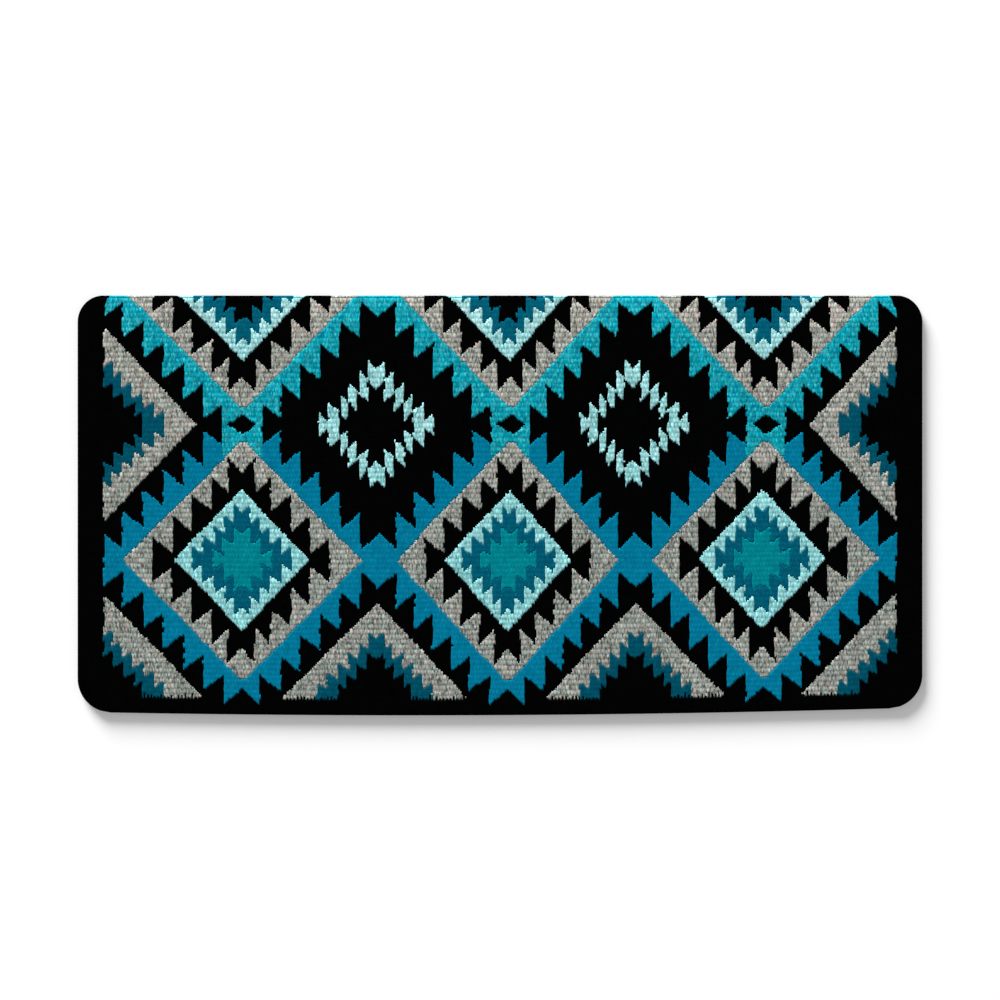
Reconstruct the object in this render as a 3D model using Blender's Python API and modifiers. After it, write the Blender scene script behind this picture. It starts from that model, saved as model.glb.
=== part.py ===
"""Woven wool show saddle blanket, folded once along its spine line and lying flat.

The blanket is a thick tapestry-woven cloth: black ground weft over heavy warps, with every
coloured area woven in as a weft of its own. Here each half of the fold is a ground cloth with
shallow pockets in its outer face, and every coloured area is a separate inlay that lies flush
in its pocket. Two ribs, each as wide as one warp with the weft wrapped round it, carry the cloth
round the fold, and the fold opens on the three furrows beside them.

X runs from the front edge to the rear edge, +Y is the fold, -Y the hem and +Z is up.
The pattern is laid out in teeth: one tooth is one step of the large saw-edged diamonds.
"""

import math

import bmesh
import bpy
from mathutils import Vector

# Driving dimensions of the folded blanket, in metres
BLANKET_LENGTH = 0.914
FOLDED_DROP = 0.451
CLOTH_THICKNESS = 0.005
LAYER_GAP = 0.0006
FOLD_CORNER_RADIUS = 0.029
HEM_CORNER_RADIUS = 0.036
EDGE_ROUNDING = 0.0014
END_BORDER = 0.028
HEM_BORDER = 0.0157

# Inlays and clearances, in metres
POCKET_DEPTH = 0.0010
INLAY_BED_CLEARANCE = 0.0003
INLAY_EDGE_CLEARANCE = 0.0003
HINGE_CLEARANCE = 0.0003
CUT_OVERRUN = 0.002

# The fold: two ribs between three furrows
RIB_COUNT = 2
RIB_ANGLE = math.radians(60.0)
ARC_STEPS_PER_RIB = 5
CORNER_STEPS = 7
EDGE_SEGMENTS = 2
RIM_ANGLE = math.radians(60.0)
FLAT_ANGLE = math.radians(0.5)
WELD_DISTANCE = 0.00001

# The pattern's lattice, counted in teeth. Diamonds and dark cells alternate every seven teeth.
CELL_TEETH = 7
FIELD_TEETH_DEEP = 21.05
DIAMOND_COLUMNS = (1, 3, 5)
HEM_CHEVRON_COLUMNS = (2, 4)
END_CHEVRON_COLUMNS = (0, 6)
DROP_ROW = 2 * CELL_TEETH
EDGE_ROW = CELL_TEETH
HEM_ROW = 3 * CELL_TEETH
# Where the lattice columns stand along the field: hand weaving leaves them a little uneven.
COLUMN_SHARES = (0.0, 0.176, 0.345, 0.5115, 0.668, 0.8315, 1.0)

# Straight edges of the motifs, as distances from a motif's centre in teeth
GREY_DIAMOND_TEETH = 6.05
MINT_DIAMOND_TEETH = 3.55
FLAME_CENTRE_TEETH = 1.7
KNOT_HALF_WIDTH_TEETH = 0.62
KNOT_HALF_HEIGHT_TEETH = 0.47
END_CHEVRON_REACH_TEETH = 4.6
END_CHEVRON_BASE_TEETH = 5.0
HEM_CHEVRON_REACH_TEETH = 4.7
HEM_CHEVRON_BASE_TEETH = 5.1

# Sizes worked out from the driving dimensions
FOLDED_THICKNESS = 2 * CLOTH_THICKNESS + LAYER_GAP
FOLD_RADIUS = FOLDED_THICKNESS / 2
MIDDLE_HEIGHT = FOLDED_THICKNESS / 2
FOLD_EDGE_Y = FOLDED_DROP / 2
HEM_EDGE_Y = -FOLDED_DROP / 2
ROLL_CENTRE_Y = FOLD_EDGE_Y - FOLD_RADIUS
SPINE_LINE_Y = ROLL_CENTRE_Y + FOLD_RADIUS * math.pi / 2
FIELD_START_X = -BLANKET_LENGTH / 2 + END_BORDER
FIELD_LENGTH = BLANKET_LENGTH - 2 * END_BORDER
FIELD_HEM_Y = HEM_EDGE_Y + HEM_BORDER
TOOTH_DEPTH = (SPINE_LINE_Y - FIELD_HEM_Y) / FIELD_TEETH_DEEP
ROLL_START_TEETH = (SPINE_LINE_Y - ROLL_CENTRE_Y) / TOOTH_DEPTH
INLAY_THICKNESS = POCKET_DEPTH - INLAY_BED_CLEARANCE
FIRST_FURROW_ANGLE = (math.pi - RIB_COUNT * RIB_ANGLE) / 2

# Wool colours, as linear red, green and blue
WOOL_COLOURS = {
    "black": (0.004, 0.004, 0.005),
    "grey": (0.33, 0.31, 0.28),
    "turquoise": (0.006, 0.36, 0.44),
    "blue": (0.002, 0.19, 0.33),
    "mint": (0.34, 0.70, 0.69),
    "petrol": (0.003, 0.09, 0.145),
    "teal": (0.002, 0.21, 0.25),
}
WOOL_ROUGHNESS = 0.92
HALVES = ("upper", "lower")


class SawEdge:
    """One quadrant of a saw-edged diamond, as shares of a tooth from the diamond's centre.

    Tooth number k has its tip at first_tip_share + k * pitch_share across and reach_share -
    k * step_share down. Its outer side is straight down, and its lower side falls back by
    slant_share towards the centre line.
    """

    def __init__(self, first_tip_share, pitch_share, reach_share, step_share, slant_share, tooth_count):
        self.first_tip_share = first_tip_share
        self.pitch_share = pitch_share
        self.reach_share = reach_share
        self.step_share = step_share
        self.slant_share = slant_share
        self.tooth_count = tooth_count

    def tip(self, tooth):
        """Across and down to the tip of a tooth."""
        across = self.first_tip_share + tooth * self.pitch_share
        return across, self.reach_share - tooth * self.step_share

    def centre_reach(self):
        """How far down the edge lies on the diamond's centre line."""
        return self.reach_share - self.slant_share * self.first_tip_share / self.pitch_share

    def quadrant(self, tooth_count=None):
        """Points from the centre line out to the tip of the last tooth."""
        count = self.tooth_count if tooth_count is None else tooth_count
        points = [(0.0, self.centre_reach())]
        for tooth in range(count):
            across, down = self.tip(tooth)
            points.append((across, down))
            if tooth < count - 1:
                points.append((across, self.tip(tooth + 1)[1] - self.slant_share))
        return points


# The saw edges of the pattern, from the widest to the narrowest
BAND_EDGE = SawEdge(
    first_tip_share=1.0, pitch_share=1.0, reach_share=7.6, step_share=1.04, slant_share=0.8, tooth_count=7
)
GREY_INNER_EDGE = SawEdge(
    first_tip_share=0.6, pitch_share=0.975, reach_share=5.2, step_share=1.0, slant_share=0.8, tooth_count=5
)
FLAME_OUTER_EDGE = SawEdge(
    first_tip_share=0.5, pitch_share=0.51, reach_share=3.25, step_share=0.54, slant_share=0.3, tooth_count=6
)
CHEVRON_INNER_EDGE = SawEdge(
    first_tip_share=0.4, pitch_share=0.52, reach_share=3.2, step_share=0.54, slant_share=0.3, tooth_count=6
)
MINT_INNER_EDGE = SawEdge(
    first_tip_share=0.38, pitch_share=0.53, reach_share=2.8, step_share=0.54, slant_share=0.3, tooth_count=5
)
PETROL_INNER_EDGE = SawEdge(
    first_tip_share=0.38, pitch_share=0.53, reach_share=1.75, step_share=0.54, slant_share=0.3, tooth_count=3
)
# Near the fold the smallest teeth run round the roll, so the mint inlay there ends a tooth sooner.
MINT_TOOTH_COUNT_AT_FOLD = 4


def column_teeth(column):
    """The lattice column's place across the field, in teeth."""
    return column * CELL_TEETH


def plan_point(across, down):
    """A point of the pattern, in teeth from the front border and the spine line, as X and Y."""
    column = min(max(int(across // CELL_TEETH), 0), len(COLUMN_SHARES) - 2)
    start, end = COLUMN_SHARES[column], COLUMN_SHARES[column + 1]
    share = start + (end - start) * (across / CELL_TEETH - column)
    return Vector((FIELD_START_X + FIELD_LENGTH * share, SPINE_LINE_Y - TOOTH_DEPTH * down))


def in_plan(outline):
    """An outline in teeth as an outline in metres."""
    return [plan_point(across, down) for across, down in outline]


def signed_area(outline):
    """Positive for an outline that runs anticlockwise."""
    pairs = zip(outline, outline[1:] + outline[:1])
    return sum(a.x * b.y - b.x * a.y for a, b in pairs) / 2


def offset_outline(outline, distance):
    """The outline with every side moved outwards by distance and the corners mitred."""
    points = outline if signed_area(outline) > 0 else outline[::-1]
    moved = []
    for before, point, after in zip(points[-1:] + points[:-1], points, points[1:] + points[:1]):
        side_in = (point - before).normalized()
        side_out = (after - point).normalized()
        normal_in = Vector((side_in.y, -side_in.x))
        normal_out = Vector((side_out.y, -side_out.x))
        bisector = (normal_in + normal_out).normalized()
        moved.append(point + bisector * (distance / bisector.dot(normal_in)))
    return moved


def arc(centre, radius, start, end, steps):
    """Points along an arc from one angle to another, both ends included."""
    turns = [start + (end - start) * step / steps for step in range(steps + 1)]
    return [centre + Vector((math.cos(turn), math.sin(turn))) * radius for turn in turns]


def blanket_outline():
    """The folded blanket from above, with rounded corners at the fold and at the hem."""
    half_length = BLANKET_LENGTH / 2
    corners = (
        (1, FOLD_EDGE_Y, FOLD_CORNER_RADIUS, 0.0),
        (-1, FOLD_EDGE_Y, FOLD_CORNER_RADIUS, math.pi / 2),
        (-1, HEM_EDGE_Y, HEM_CORNER_RADIUS, math.pi),
        (1, HEM_EDGE_Y, HEM_CORNER_RADIUS, 3 * math.pi / 2),
    )
    outline = []
    for end, edge_y, radius, start in corners:
        inward = -1 if edge_y > 0 else 1
        centre = Vector((end * (half_length - radius), edge_y + inward * radius))
        outline += arc(centre, radius, start, start + math.pi / 2, CORNER_STEPS)
    return outline


def mirrored(quadrant):
    """A quadrant and its mirror image across the centre line, from the far left to the far right."""
    left = [(-across, down) for across, down in reversed(quadrant) if across > 0]
    return left + quadrant


def shifted(points, across, down):
    """Points moved by a number of teeth across and down."""
    return [(across + a, down + d) for a, d in points]


def saw_diamond(edge, across, down):
    """The closed outline of a whole saw-edged diamond."""
    lower = mirrored(edge.quadrant())
    upper = [(a, -d) for a, d in reversed(lower)]
    return shifted(lower + upper, across, down)


def plain_diamond(half_width, half_height, across, down):
    """The closed outline of a diamond with straight edges."""
    corners = [(half_width, 0.0), (0.0, half_height), (-half_width, 0.0), (0.0, -half_height)]
    return shifted(corners, across, down)


def half_ring(outer_teeth, inner_quadrant, across):
    """The V that a ring with a straight outer edge leaves below the roll of the fold."""
    half_width = outer_teeth - ROLL_START_TEETH
    outer = [(-half_width, ROLL_START_TEETH), (0.0, outer_teeth), (half_width, ROLL_START_TEETH)]
    inner = mirrored(inner_quadrant)
    last = inner_quadrant[-1][0]
    inner = [(-last, ROLL_START_TEETH)] + inner + [(last, ROLL_START_TEETH)]
    return shifted(outer + inner[::-1], across, 0.0)


def turquoise_outline():
    """The zigzag band that joins the three fold diamonds and reaches down to the drop diamonds."""
    neck_down = DROP_ROW - GREY_DIAMOND_TEETH
    teeth = BAND_EDGE.quadrant()[2:]
    neck_corner = (BAND_EDGE.first_tip_share, neck_down + BAND_EDGE.first_tip_share)
    quadrant = [(0.0, neck_down), neck_corner] + teeth
    half_width = GREY_DIAMOND_TEETH - ROLL_START_TEETH
    grey = [(-half_width, ROLL_START_TEETH), (0.0, GREY_DIAMOND_TEETH), (half_width, ROLL_START_TEETH)]
    field_width = column_teeth(END_CHEVRON_COLUMNS[1])
    lower, upper = [], [(0.0, ROLL_START_TEETH)]
    for column in DIAMOND_COLUMNS:
        points = shifted(mirrored(quadrant), column_teeth(column), 0.0)
        lower += points[1:] if lower else points
        upper += shifted(grey, column_teeth(column), 0.0)
    upper.append((field_width, ROLL_START_TEETH))
    return lower + upper[::-1]


def blue_outline():
    """The zigzag band round the three drop diamonds, open where the turquoise necks come down."""
    teeth = BAND_EDGE.quadrant()
    neck = BAND_EDGE.first_tip_share
    grey_at_neck = GREY_DIAMOND_TEETH - neck
    above, below = [], []
    for column in DIAMOND_COLUMNS:
        left = [(-a, -d) for a, d in reversed(teeth[2:])]
        right = [(a, -d) for a, d in teeth[2:]]
        round_grey = [
            (-neck, -grey_at_neck),
            (-GREY_DIAMOND_TEETH, 0.0),
            (0.0, GREY_DIAMOND_TEETH),
            (GREY_DIAMOND_TEETH, 0.0),
            (neck, -grey_at_neck),
        ]
        across = column_teeth(column)
        top = shifted(left + round_grey + right, across, DROP_ROW)
        bottom = shifted(mirrored(teeth), across, DROP_ROW)
        above += top[1:] if above else top
        below += bottom[1:] if below else bottom
    return above + below[::-1]


def end_chevron(column):
    """The grey chevron that points inwards from the front or rear border."""
    inner = CHEVRON_INNER_EDGE.quadrant()
    lower = [(0.0, END_CHEVRON_BASE_TEETH), (END_CHEVRON_REACH_TEETH, 0.0)]
    outline = lower + [(0.0, -END_CHEVRON_BASE_TEETH)]
    outline += [(a, -d) for a, d in inner]
    outline += inner[::-1]
    inward = 1 if column == END_CHEVRON_COLUMNS[0] else -1
    return shifted([(inward * a, d) for a, d in outline], column_teeth(column), EDGE_ROW)


def hem_chevron(column):
    """The grey chevron that points up from the hem border."""
    base = FIELD_TEETH_DEEP - HEM_ROW
    outer = [(-HEM_CHEVRON_BASE_TEETH, base), (0.0, -HEM_CHEVRON_REACH_TEETH)]
    outer.append((HEM_CHEVRON_BASE_TEETH, base))
    teeth = [(a, -d) for a, d in mirrored(CHEVRON_INNER_EDGE.quadrant())]
    last = teeth[-1][0]
    inner = [(-last, base)] + teeth + [(last, base)]
    return shifted(outer + inner[::-1], column_teeth(column), HEM_ROW)


def corner_chevron(column):
    """The half chevron in a corner of the hem."""
    base = FIELD_TEETH_DEEP - HEM_ROW
    teeth = [(a, -d) for a, d in CHEVRON_INNER_EDGE.quadrant()]
    outline = [(0.0, -END_CHEVRON_BASE_TEETH), (HEM_CHEVRON_BASE_TEETH, base), (teeth[-1][0], base)]
    outline += teeth[::-1]
    inward = 1 if column == END_CHEVRON_COLUMNS[0] else -1
    return shifted([(inward * a, d) for a, d in outline], column_teeth(column), HEM_ROW)


def inlay_outlines():
    """Every coloured area of one half: name, wool, outer outline and any outlines inside it."""
    ends = ("front", "rear")
    places = ("front", "middle", "rear")
    knots = [
        plain_diamond(KNOT_HALF_WIDTH_TEETH, KNOT_HALF_HEIGHT_TEETH, column_teeth(column), EDGE_ROW)
        for column in DIAMOND_COLUMNS
    ]
    areas = [
        ("turquoise_band", "turquoise", turquoise_outline(), knots),
        ("blue_band", "blue", blue_outline(), []),
    ]
    for place, column in zip(places, DIAMOND_COLUMNS):
        across = column_teeth(column)
        grey = plain_diamond(GREY_DIAMOND_TEETH, GREY_DIAMOND_TEETH, across, DROP_ROW)
        mint = plain_diamond(MINT_DIAMOND_TEETH, MINT_DIAMOND_TEETH, across, DROP_ROW)
        black = saw_diamond(GREY_INNER_EDGE, across, DROP_ROW)
        petrol = saw_diamond(MINT_INNER_EDGE, across, DROP_ROW)
        teal = saw_diamond(PETROL_INNER_EDGE, across, DROP_ROW)
        fold_grey = half_ring(GREY_DIAMOND_TEETH, GREY_INNER_EDGE.quadrant(), across)
        fold_mint = half_ring(MINT_DIAMOND_TEETH, MINT_INNER_EDGE.quadrant(MINT_TOOTH_COUNT_AT_FOLD), across)
        areas += [
            (f"grey_fold_diamond_{place}", "grey", fold_grey, []),
            (f"mint_fold_diamond_{place}", "mint", fold_mint, []),
            (f"grey_drop_diamond_{place}", "grey", grey, [black]),
            (f"mint_drop_diamond_{place}", "mint", mint, [petrol]),
            (f"petrol_drop_diamond_{place}", "petrol", petrol, [teal]),
            (f"teal_drop_centre_{place}", "teal", teal, []),
        ]
    for end, end_column, hem_column in zip(ends, END_CHEVRON_COLUMNS, HEM_CHEVRON_COLUMNS):
        across = column_teeth(hem_column)
        flame = saw_diamond(FLAME_OUTER_EDGE, across, EDGE_ROW)
        dark = plain_diamond(FLAME_CENTRE_TEETH, FLAME_CENTRE_TEETH, across, EDGE_ROW)
        areas += [
            (f"mint_flame_ring_{end}", "mint", flame, [dark]),
            (f"grey_end_chevron_{end}", "grey", end_chevron(end_column), []),
            (f"grey_hem_chevron_{end}", "grey", hem_chevron(hem_column), []),
            (f"grey_corner_chevron_{end}", "grey", corner_chevron(end_column), []),
        ]
    return areas


def clear_scene():
    """Removes every object of the scene."""
    for obj in list(bpy.data.objects):
        bpy.data.objects.remove(obj)


def new_collection(name):
    """A collection in the scene."""
    collection = bpy.data.collections.new(name)
    bpy.context.scene.collection.children.link(collection)
    return collection


def wool(name):
    """The matt wool of one colour."""
    material = bpy.data.materials.new(f"{name}_wool")
    material.use_nodes = True
    shader = material.node_tree.nodes["Principled BSDF"]
    shader.inputs["Base Color"].default_value = (*WOOL_COLOURS[name], 1.0)
    shader.inputs["Roughness"].default_value = WOOL_ROUGHNESS
    shader.inputs["Metallic"].default_value = 0.0
    return material


def prism(name, outlines, low, high, collection):
    """A flat outline, with any outlines inside it as holes, as a closed plate between two heights."""
    curve = bpy.data.curves.new(name, "CURVE")
    curve.dimensions = "2D"
    curve.fill_mode = "BOTH"
    curve.extrude = (high - low) / 2
    for outline in outlines:
        spline = curve.splines.new("POLY")
        spline.points.add(len(outline) - 1)
        for point, place in zip(spline.points, outline):
            point.co = (place.x, place.y, 0.0, 1.0)
        spline.use_cyclic_u = True
    source = bpy.data.objects.new(name, curve)
    collection.objects.link(source)
    source.location.z = (low + high) / 2
    bpy.context.view_layer.update()
    graph = bpy.context.evaluated_depsgraph_get()
    mesh = bpy.data.meshes.new_from_object(source.evaluated_get(graph))
    place = source.matrix_world.copy()
    bpy.data.objects.remove(source)
    welded = bmesh.new()
    welded.from_mesh(mesh)
    bmesh.ops.remove_doubles(welded, verts=welded.verts, dist=WELD_DISTANCE)
    bmesh.ops.recalc_face_normals(welded, faces=welded.faces)
    welded.to_mesh(mesh)
    welded.free()
    plate = bpy.data.objects.new(name, mesh)
    plate.matrix_world = place
    collection.objects.link(plate)
    return plate


def section_prism(name, section, half_length, collection):
    """A closed bar along X from an outline of Y and Z points."""
    shape = bmesh.new()
    start = [shape.verts.new((-half_length, y, z)) for y, z in section]
    face = shape.faces.new(start)
    grown = bmesh.ops.extrude_face_region(shape, geom=[face])
    moved = [item for item in grown["geom"] if isinstance(item, bmesh.types.BMVert)]
    bmesh.ops.translate(shape, verts=moved, vec=(2 * half_length, 0.0, 0.0))
    bmesh.ops.recalc_face_normals(shape, faces=shape.faces)
    mesh = bpy.data.meshes.new(name)
    shape.to_mesh(mesh)
    shape.free()
    bar = bpy.data.objects.new(name, mesh)
    collection.objects.link(bar)
    return bar


def as_helper(obj):
    """Marks an object as a cutter that isn't part of the blanket."""
    obj.hide_render = True
    obj.display_type = "WIRE"
    return obj


def keep_inside(obj, cutter):
    """Keeps only what the object shares with the cutter."""
    modifier = obj.modifiers.new(f"inside_{cutter.name}", "BOOLEAN")
    modifier.operation = "INTERSECT"
    modifier.solver = "EXACT"
    modifier.object = cutter


def cut_pockets(obj, pockets):
    """Cuts every pocket of a collection out of the object and joins the flat faces that meet."""
    modifier = obj.modifiers.new("pockets", "BOOLEAN")
    modifier.operation = "DIFFERENCE"
    modifier.solver = "EXACT"
    modifier.operand_type = "COLLECTION"
    modifier.collection = pockets
    flats = obj.modifiers.new("joined_flats", "DECIMATE")
    flats.decimate_type = "DISSOLVE"
    flats.angle_limit = FLAT_ANGLE


def roll_point(angle, radius=FOLD_RADIUS, aside=0.0):
    """A point of the roll's section, by its angle from straight up and a shift along the roll."""
    outward = Vector((math.sin(angle), math.cos(angle)))
    along = Vector((math.cos(angle), -math.sin(angle)))
    return Vector((ROLL_CENTRE_Y, MIDDLE_HEIGHT)) + outward * radius + along * aside


def cloth_section(upper):
    """The section of one half: flat cloth from past the hem to the first furrow of the roll."""
    steps = ARC_STEPS_PER_RIB
    turn = FIRST_FURROW_ANGLE - HINGE_CLEARANCE / 2 / FOLD_RADIUS
    rim = [roll_point(turn * step / steps) for step in range(steps + 1)]
    lean = math.tan(FIRST_FURROW_ANGLE)
    inner_height = MIDDLE_HEIGHT + LAYER_GAP / 2
    inner_y = ROLL_CENTRE_Y + LAYER_GAP / 2 * lean - HINGE_CLEARANCE / 2 / math.cos(FIRST_FURROW_ANGLE)
    past_hem = HEM_EDGE_Y - CUT_OVERRUN
    section = [(past_hem, inner_height), (past_hem, FOLDED_THICKNESS)]
    section += [(point.x, point.y) for point in rim]
    section.append((inner_y, inner_height))
    if upper:
        return section
    return [(y, FOLDED_THICKNESS - z) for y, z in section]


def rib_section(number):
    """The section of one rib of the roll: a wedge between two furrows."""
    start = FIRST_FURROW_ANGLE + number * RIB_ANGLE
    margin = HINGE_CLEARANCE / 2 / FOLD_RADIUS
    span = RIB_ANGLE - 2 * margin
    steps = ARC_STEPS_PER_RIB
    rim = [roll_point(start + margin + span * step / steps) for step in range(steps + 1)]
    apex = roll_point(start + RIB_ANGLE / 2, HINGE_CLEARANCE / 2 / math.sin(RIB_ANGLE / 2))
    return [(point.x, point.y) for point in [apex] + rim]


def round_edges(obj):
    """Rounds the sharp rims of a plate."""
    modifier = obj.modifiers.new("rounded_rim", "BEVEL")
    modifier.width = EDGE_ROUNDING
    modifier.segments = EDGE_SEGMENTS
    modifier.limit_method = "ANGLE"
    modifier.angle_limit = RIM_ANGLE


def fit_inlay(name, shapes, face, inward, material, parts, pockets):
    """One inlay, level with the face, and the pocket that it lies in with clearance all round."""
    half_clearance = INLAY_EDGE_CLEARANCE / 2
    grown = [offset_outline(shapes[0], half_clearance)]
    grown += [offset_outline(hole, -half_clearance) for hole in shapes[1:]]
    shrunk = [offset_outline(shapes[0], -half_clearance)]
    shrunk += [offset_outline(hole, half_clearance) for hole in shapes[1:]]
    pocket_heights = sorted((face - inward * CUT_OVERRUN, face + inward * POCKET_DEPTH))
    inlay_heights = sorted((face, face + inward * INLAY_THICKNESS))
    as_helper(prism(f"{name}_pocket", grown, *pocket_heights, pockets))
    inlay = prism(name, shrunk, *inlay_heights, parts)
    inlay.data.materials.append(material)


def shape_half(name, upper, wools, parts, cutters):
    """The uncut ground cloth of one half, its section, and the pockets with the inlays in them."""
    low = MIDDLE_HEIGHT + LAYER_GAP / 2 if upper else 0.0
    high = low + CLOTH_THICKNESS
    face = high if upper else low
    inward = -1 if upper else 1
    pockets = bpy.data.collections.new(f"{name}_pockets")
    cutters.children.link(pockets)
    for area, colour, outer, holes in inlay_outlines():
        shapes = [in_plan(shape) for shape in [outer] + holes]
        fit_inlay(f"{name}_{area}", shapes, face, inward, wools[colour], parts, pockets)
    ground = prism(f"{name}_ground_cloth", [blanket_outline()], low, high, parts)
    ground.data.materials.append(wools["black"])
    section = section_prism(f"{name}_section", cloth_section(upper), BLANKET_LENGTH, cutters)
    return ground, as_helper(section), pockets


def shape_ribs(wools, parts):
    """The ribs that carry the cloth round the fold, not yet trimmed at their ends."""
    ribs = []
    for number, half in enumerate(HALVES):
        name = f"{half}_spine_rib"
        rib = section_prism(name, rib_section(number), BLANKET_LENGTH / 2 + CUT_OVERRUN, parts)
        rib.data.materials.append(wools["black"])
        ribs.append(rib)
    return ribs


def main():
    """Builds the folded blanket at rest: every shape first, and then what cuts it."""
    clear_scene()
    parts = new_collection("saddle_blanket")
    cutters = new_collection("cutters")
    wools = {name: wool(name) for name in WOOL_COLOURS}
    halves = [shape_half(name, name == "upper", wools, parts, cutters) for name in HALVES]
    ribs = shape_ribs(wools, parts)
    trim = prism("rib_trim", [blanket_outline()], -CUT_OVERRUN, FOLDED_THICKNESS + CUT_OVERRUN, cutters)
    for ground, section, pockets in halves:
        round_edges(ground)
        keep_inside(ground, section)
        cut_pockets(ground, pockets)
    for rib in ribs:
        keep_inside(rib, as_helper(trim))


main()
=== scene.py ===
"""The looks of a folded wool saddle blanket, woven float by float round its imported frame.

The cloth is a weft-faced tapestry. Heavy warps run from end to end along X, and the weft runs
across them: each pick of weft shows as a float where it passes over a warp and hides where it
passes under, so the floats stand in a brick bond, two picks wide and one warp tall. Every
coloured area is woven in with its own weft, and here it is its own closed shell of floats.
"""

import logging
import math
from dataclasses import dataclass, field
from enum import Enum, IntEnum

import bpy
import numpy as np
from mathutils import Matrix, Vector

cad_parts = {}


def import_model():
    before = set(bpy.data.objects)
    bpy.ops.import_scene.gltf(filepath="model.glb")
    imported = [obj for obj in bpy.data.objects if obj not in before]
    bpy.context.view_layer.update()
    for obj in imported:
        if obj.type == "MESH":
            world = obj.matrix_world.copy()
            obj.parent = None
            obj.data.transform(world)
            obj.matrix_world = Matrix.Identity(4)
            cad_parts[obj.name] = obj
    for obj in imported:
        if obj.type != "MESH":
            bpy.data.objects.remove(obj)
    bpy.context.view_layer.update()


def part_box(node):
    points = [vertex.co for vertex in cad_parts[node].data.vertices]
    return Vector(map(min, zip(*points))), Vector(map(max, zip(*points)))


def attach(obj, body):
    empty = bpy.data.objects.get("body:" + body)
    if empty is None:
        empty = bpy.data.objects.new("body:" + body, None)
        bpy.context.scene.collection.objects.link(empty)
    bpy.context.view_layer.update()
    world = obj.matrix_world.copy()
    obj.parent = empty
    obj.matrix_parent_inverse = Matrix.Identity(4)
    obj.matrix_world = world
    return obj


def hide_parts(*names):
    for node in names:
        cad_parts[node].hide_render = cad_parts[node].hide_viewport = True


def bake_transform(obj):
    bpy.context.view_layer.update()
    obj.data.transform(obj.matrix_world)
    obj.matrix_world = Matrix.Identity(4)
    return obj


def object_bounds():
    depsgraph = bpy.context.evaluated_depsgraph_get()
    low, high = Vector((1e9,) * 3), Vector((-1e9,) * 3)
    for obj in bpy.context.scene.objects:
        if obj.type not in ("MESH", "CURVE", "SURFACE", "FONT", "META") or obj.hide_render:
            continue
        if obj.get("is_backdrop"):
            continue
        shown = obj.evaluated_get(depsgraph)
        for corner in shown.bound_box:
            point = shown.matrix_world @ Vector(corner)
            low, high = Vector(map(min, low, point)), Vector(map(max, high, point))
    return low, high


LOG = logging.getLogger("saddle_blanket")
RANDOM_SEED = 7
RIB_SEED = 12

# The weave, in metres, and how many finer lines a warp's row is cut into
PICK_PITCH = 0.00184
WARP_PITCH = 0.0054
RELIEF = 0.0006
RIM_RADIUS = 0.0026
SUB_ROWS = 3

# The fold's ribs: the gap of the furrow between two, in metres, and how far one turns
FURROW_GAP = 0.0003
RIB_TURN = math.pi / 3

# The pattern's place on the cloth, in metres
TOOTH_DEPTH = 0.02081
PATTERN_SHIFT = 0.0017
END_BORDER = 0.0284

# The pattern's lattice columns, from the front end to the rear one
DIAMOND_COLUMNS = {"front": 1, "middle": 3, "rear": 5}
FLAME_COLUMNS = {"front": 2, "rear": 4}
END_COLUMNS = {"front": 0, "rear": 6}

Pair = tuple[float, float]
Colour = tuple[float, float, float]
NO_TINT = (1.0, 1.0, 1.0)


class Side(Enum):
    """The two halves of the folded blanket."""

    UPPER = "upper"
    LOWER = "lower"

    @property
    def sign(self) -> int:
        """1 for the half on top and -1 for the one below."""
        return 1 if self is Side.UPPER else -1


class Row(IntEnum):
    """The pattern's lattice rows, from the fold to the hem."""

    FOLD = 0
    NECK = 1
    DROP = 2
    HEM = 3


class Wool(Enum):
    """The wools of the blanket, by the record's slot."""

    BLACK = "black_wool"
    GREY = "grey_wool"
    TURQUOISE = "turquoise_wool"
    BLUE = "blue_wool"
    MINT = "mint_wool"
    PETROL = "petrol_wool"
    TEAL = "teal_wool"


Materials = dict[Wool, bpy.types.Material]


@dataclass(frozen=True)
class Area:
    """One coloured area of a half: its name, its wool and the frame's node that it stands for.

    Its lot says how much lighter or darker than usual its wool was dyed, in tones.
    """

    name: str
    wool: Wool
    node: str | None = None
    lot: float = 0.0


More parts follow.
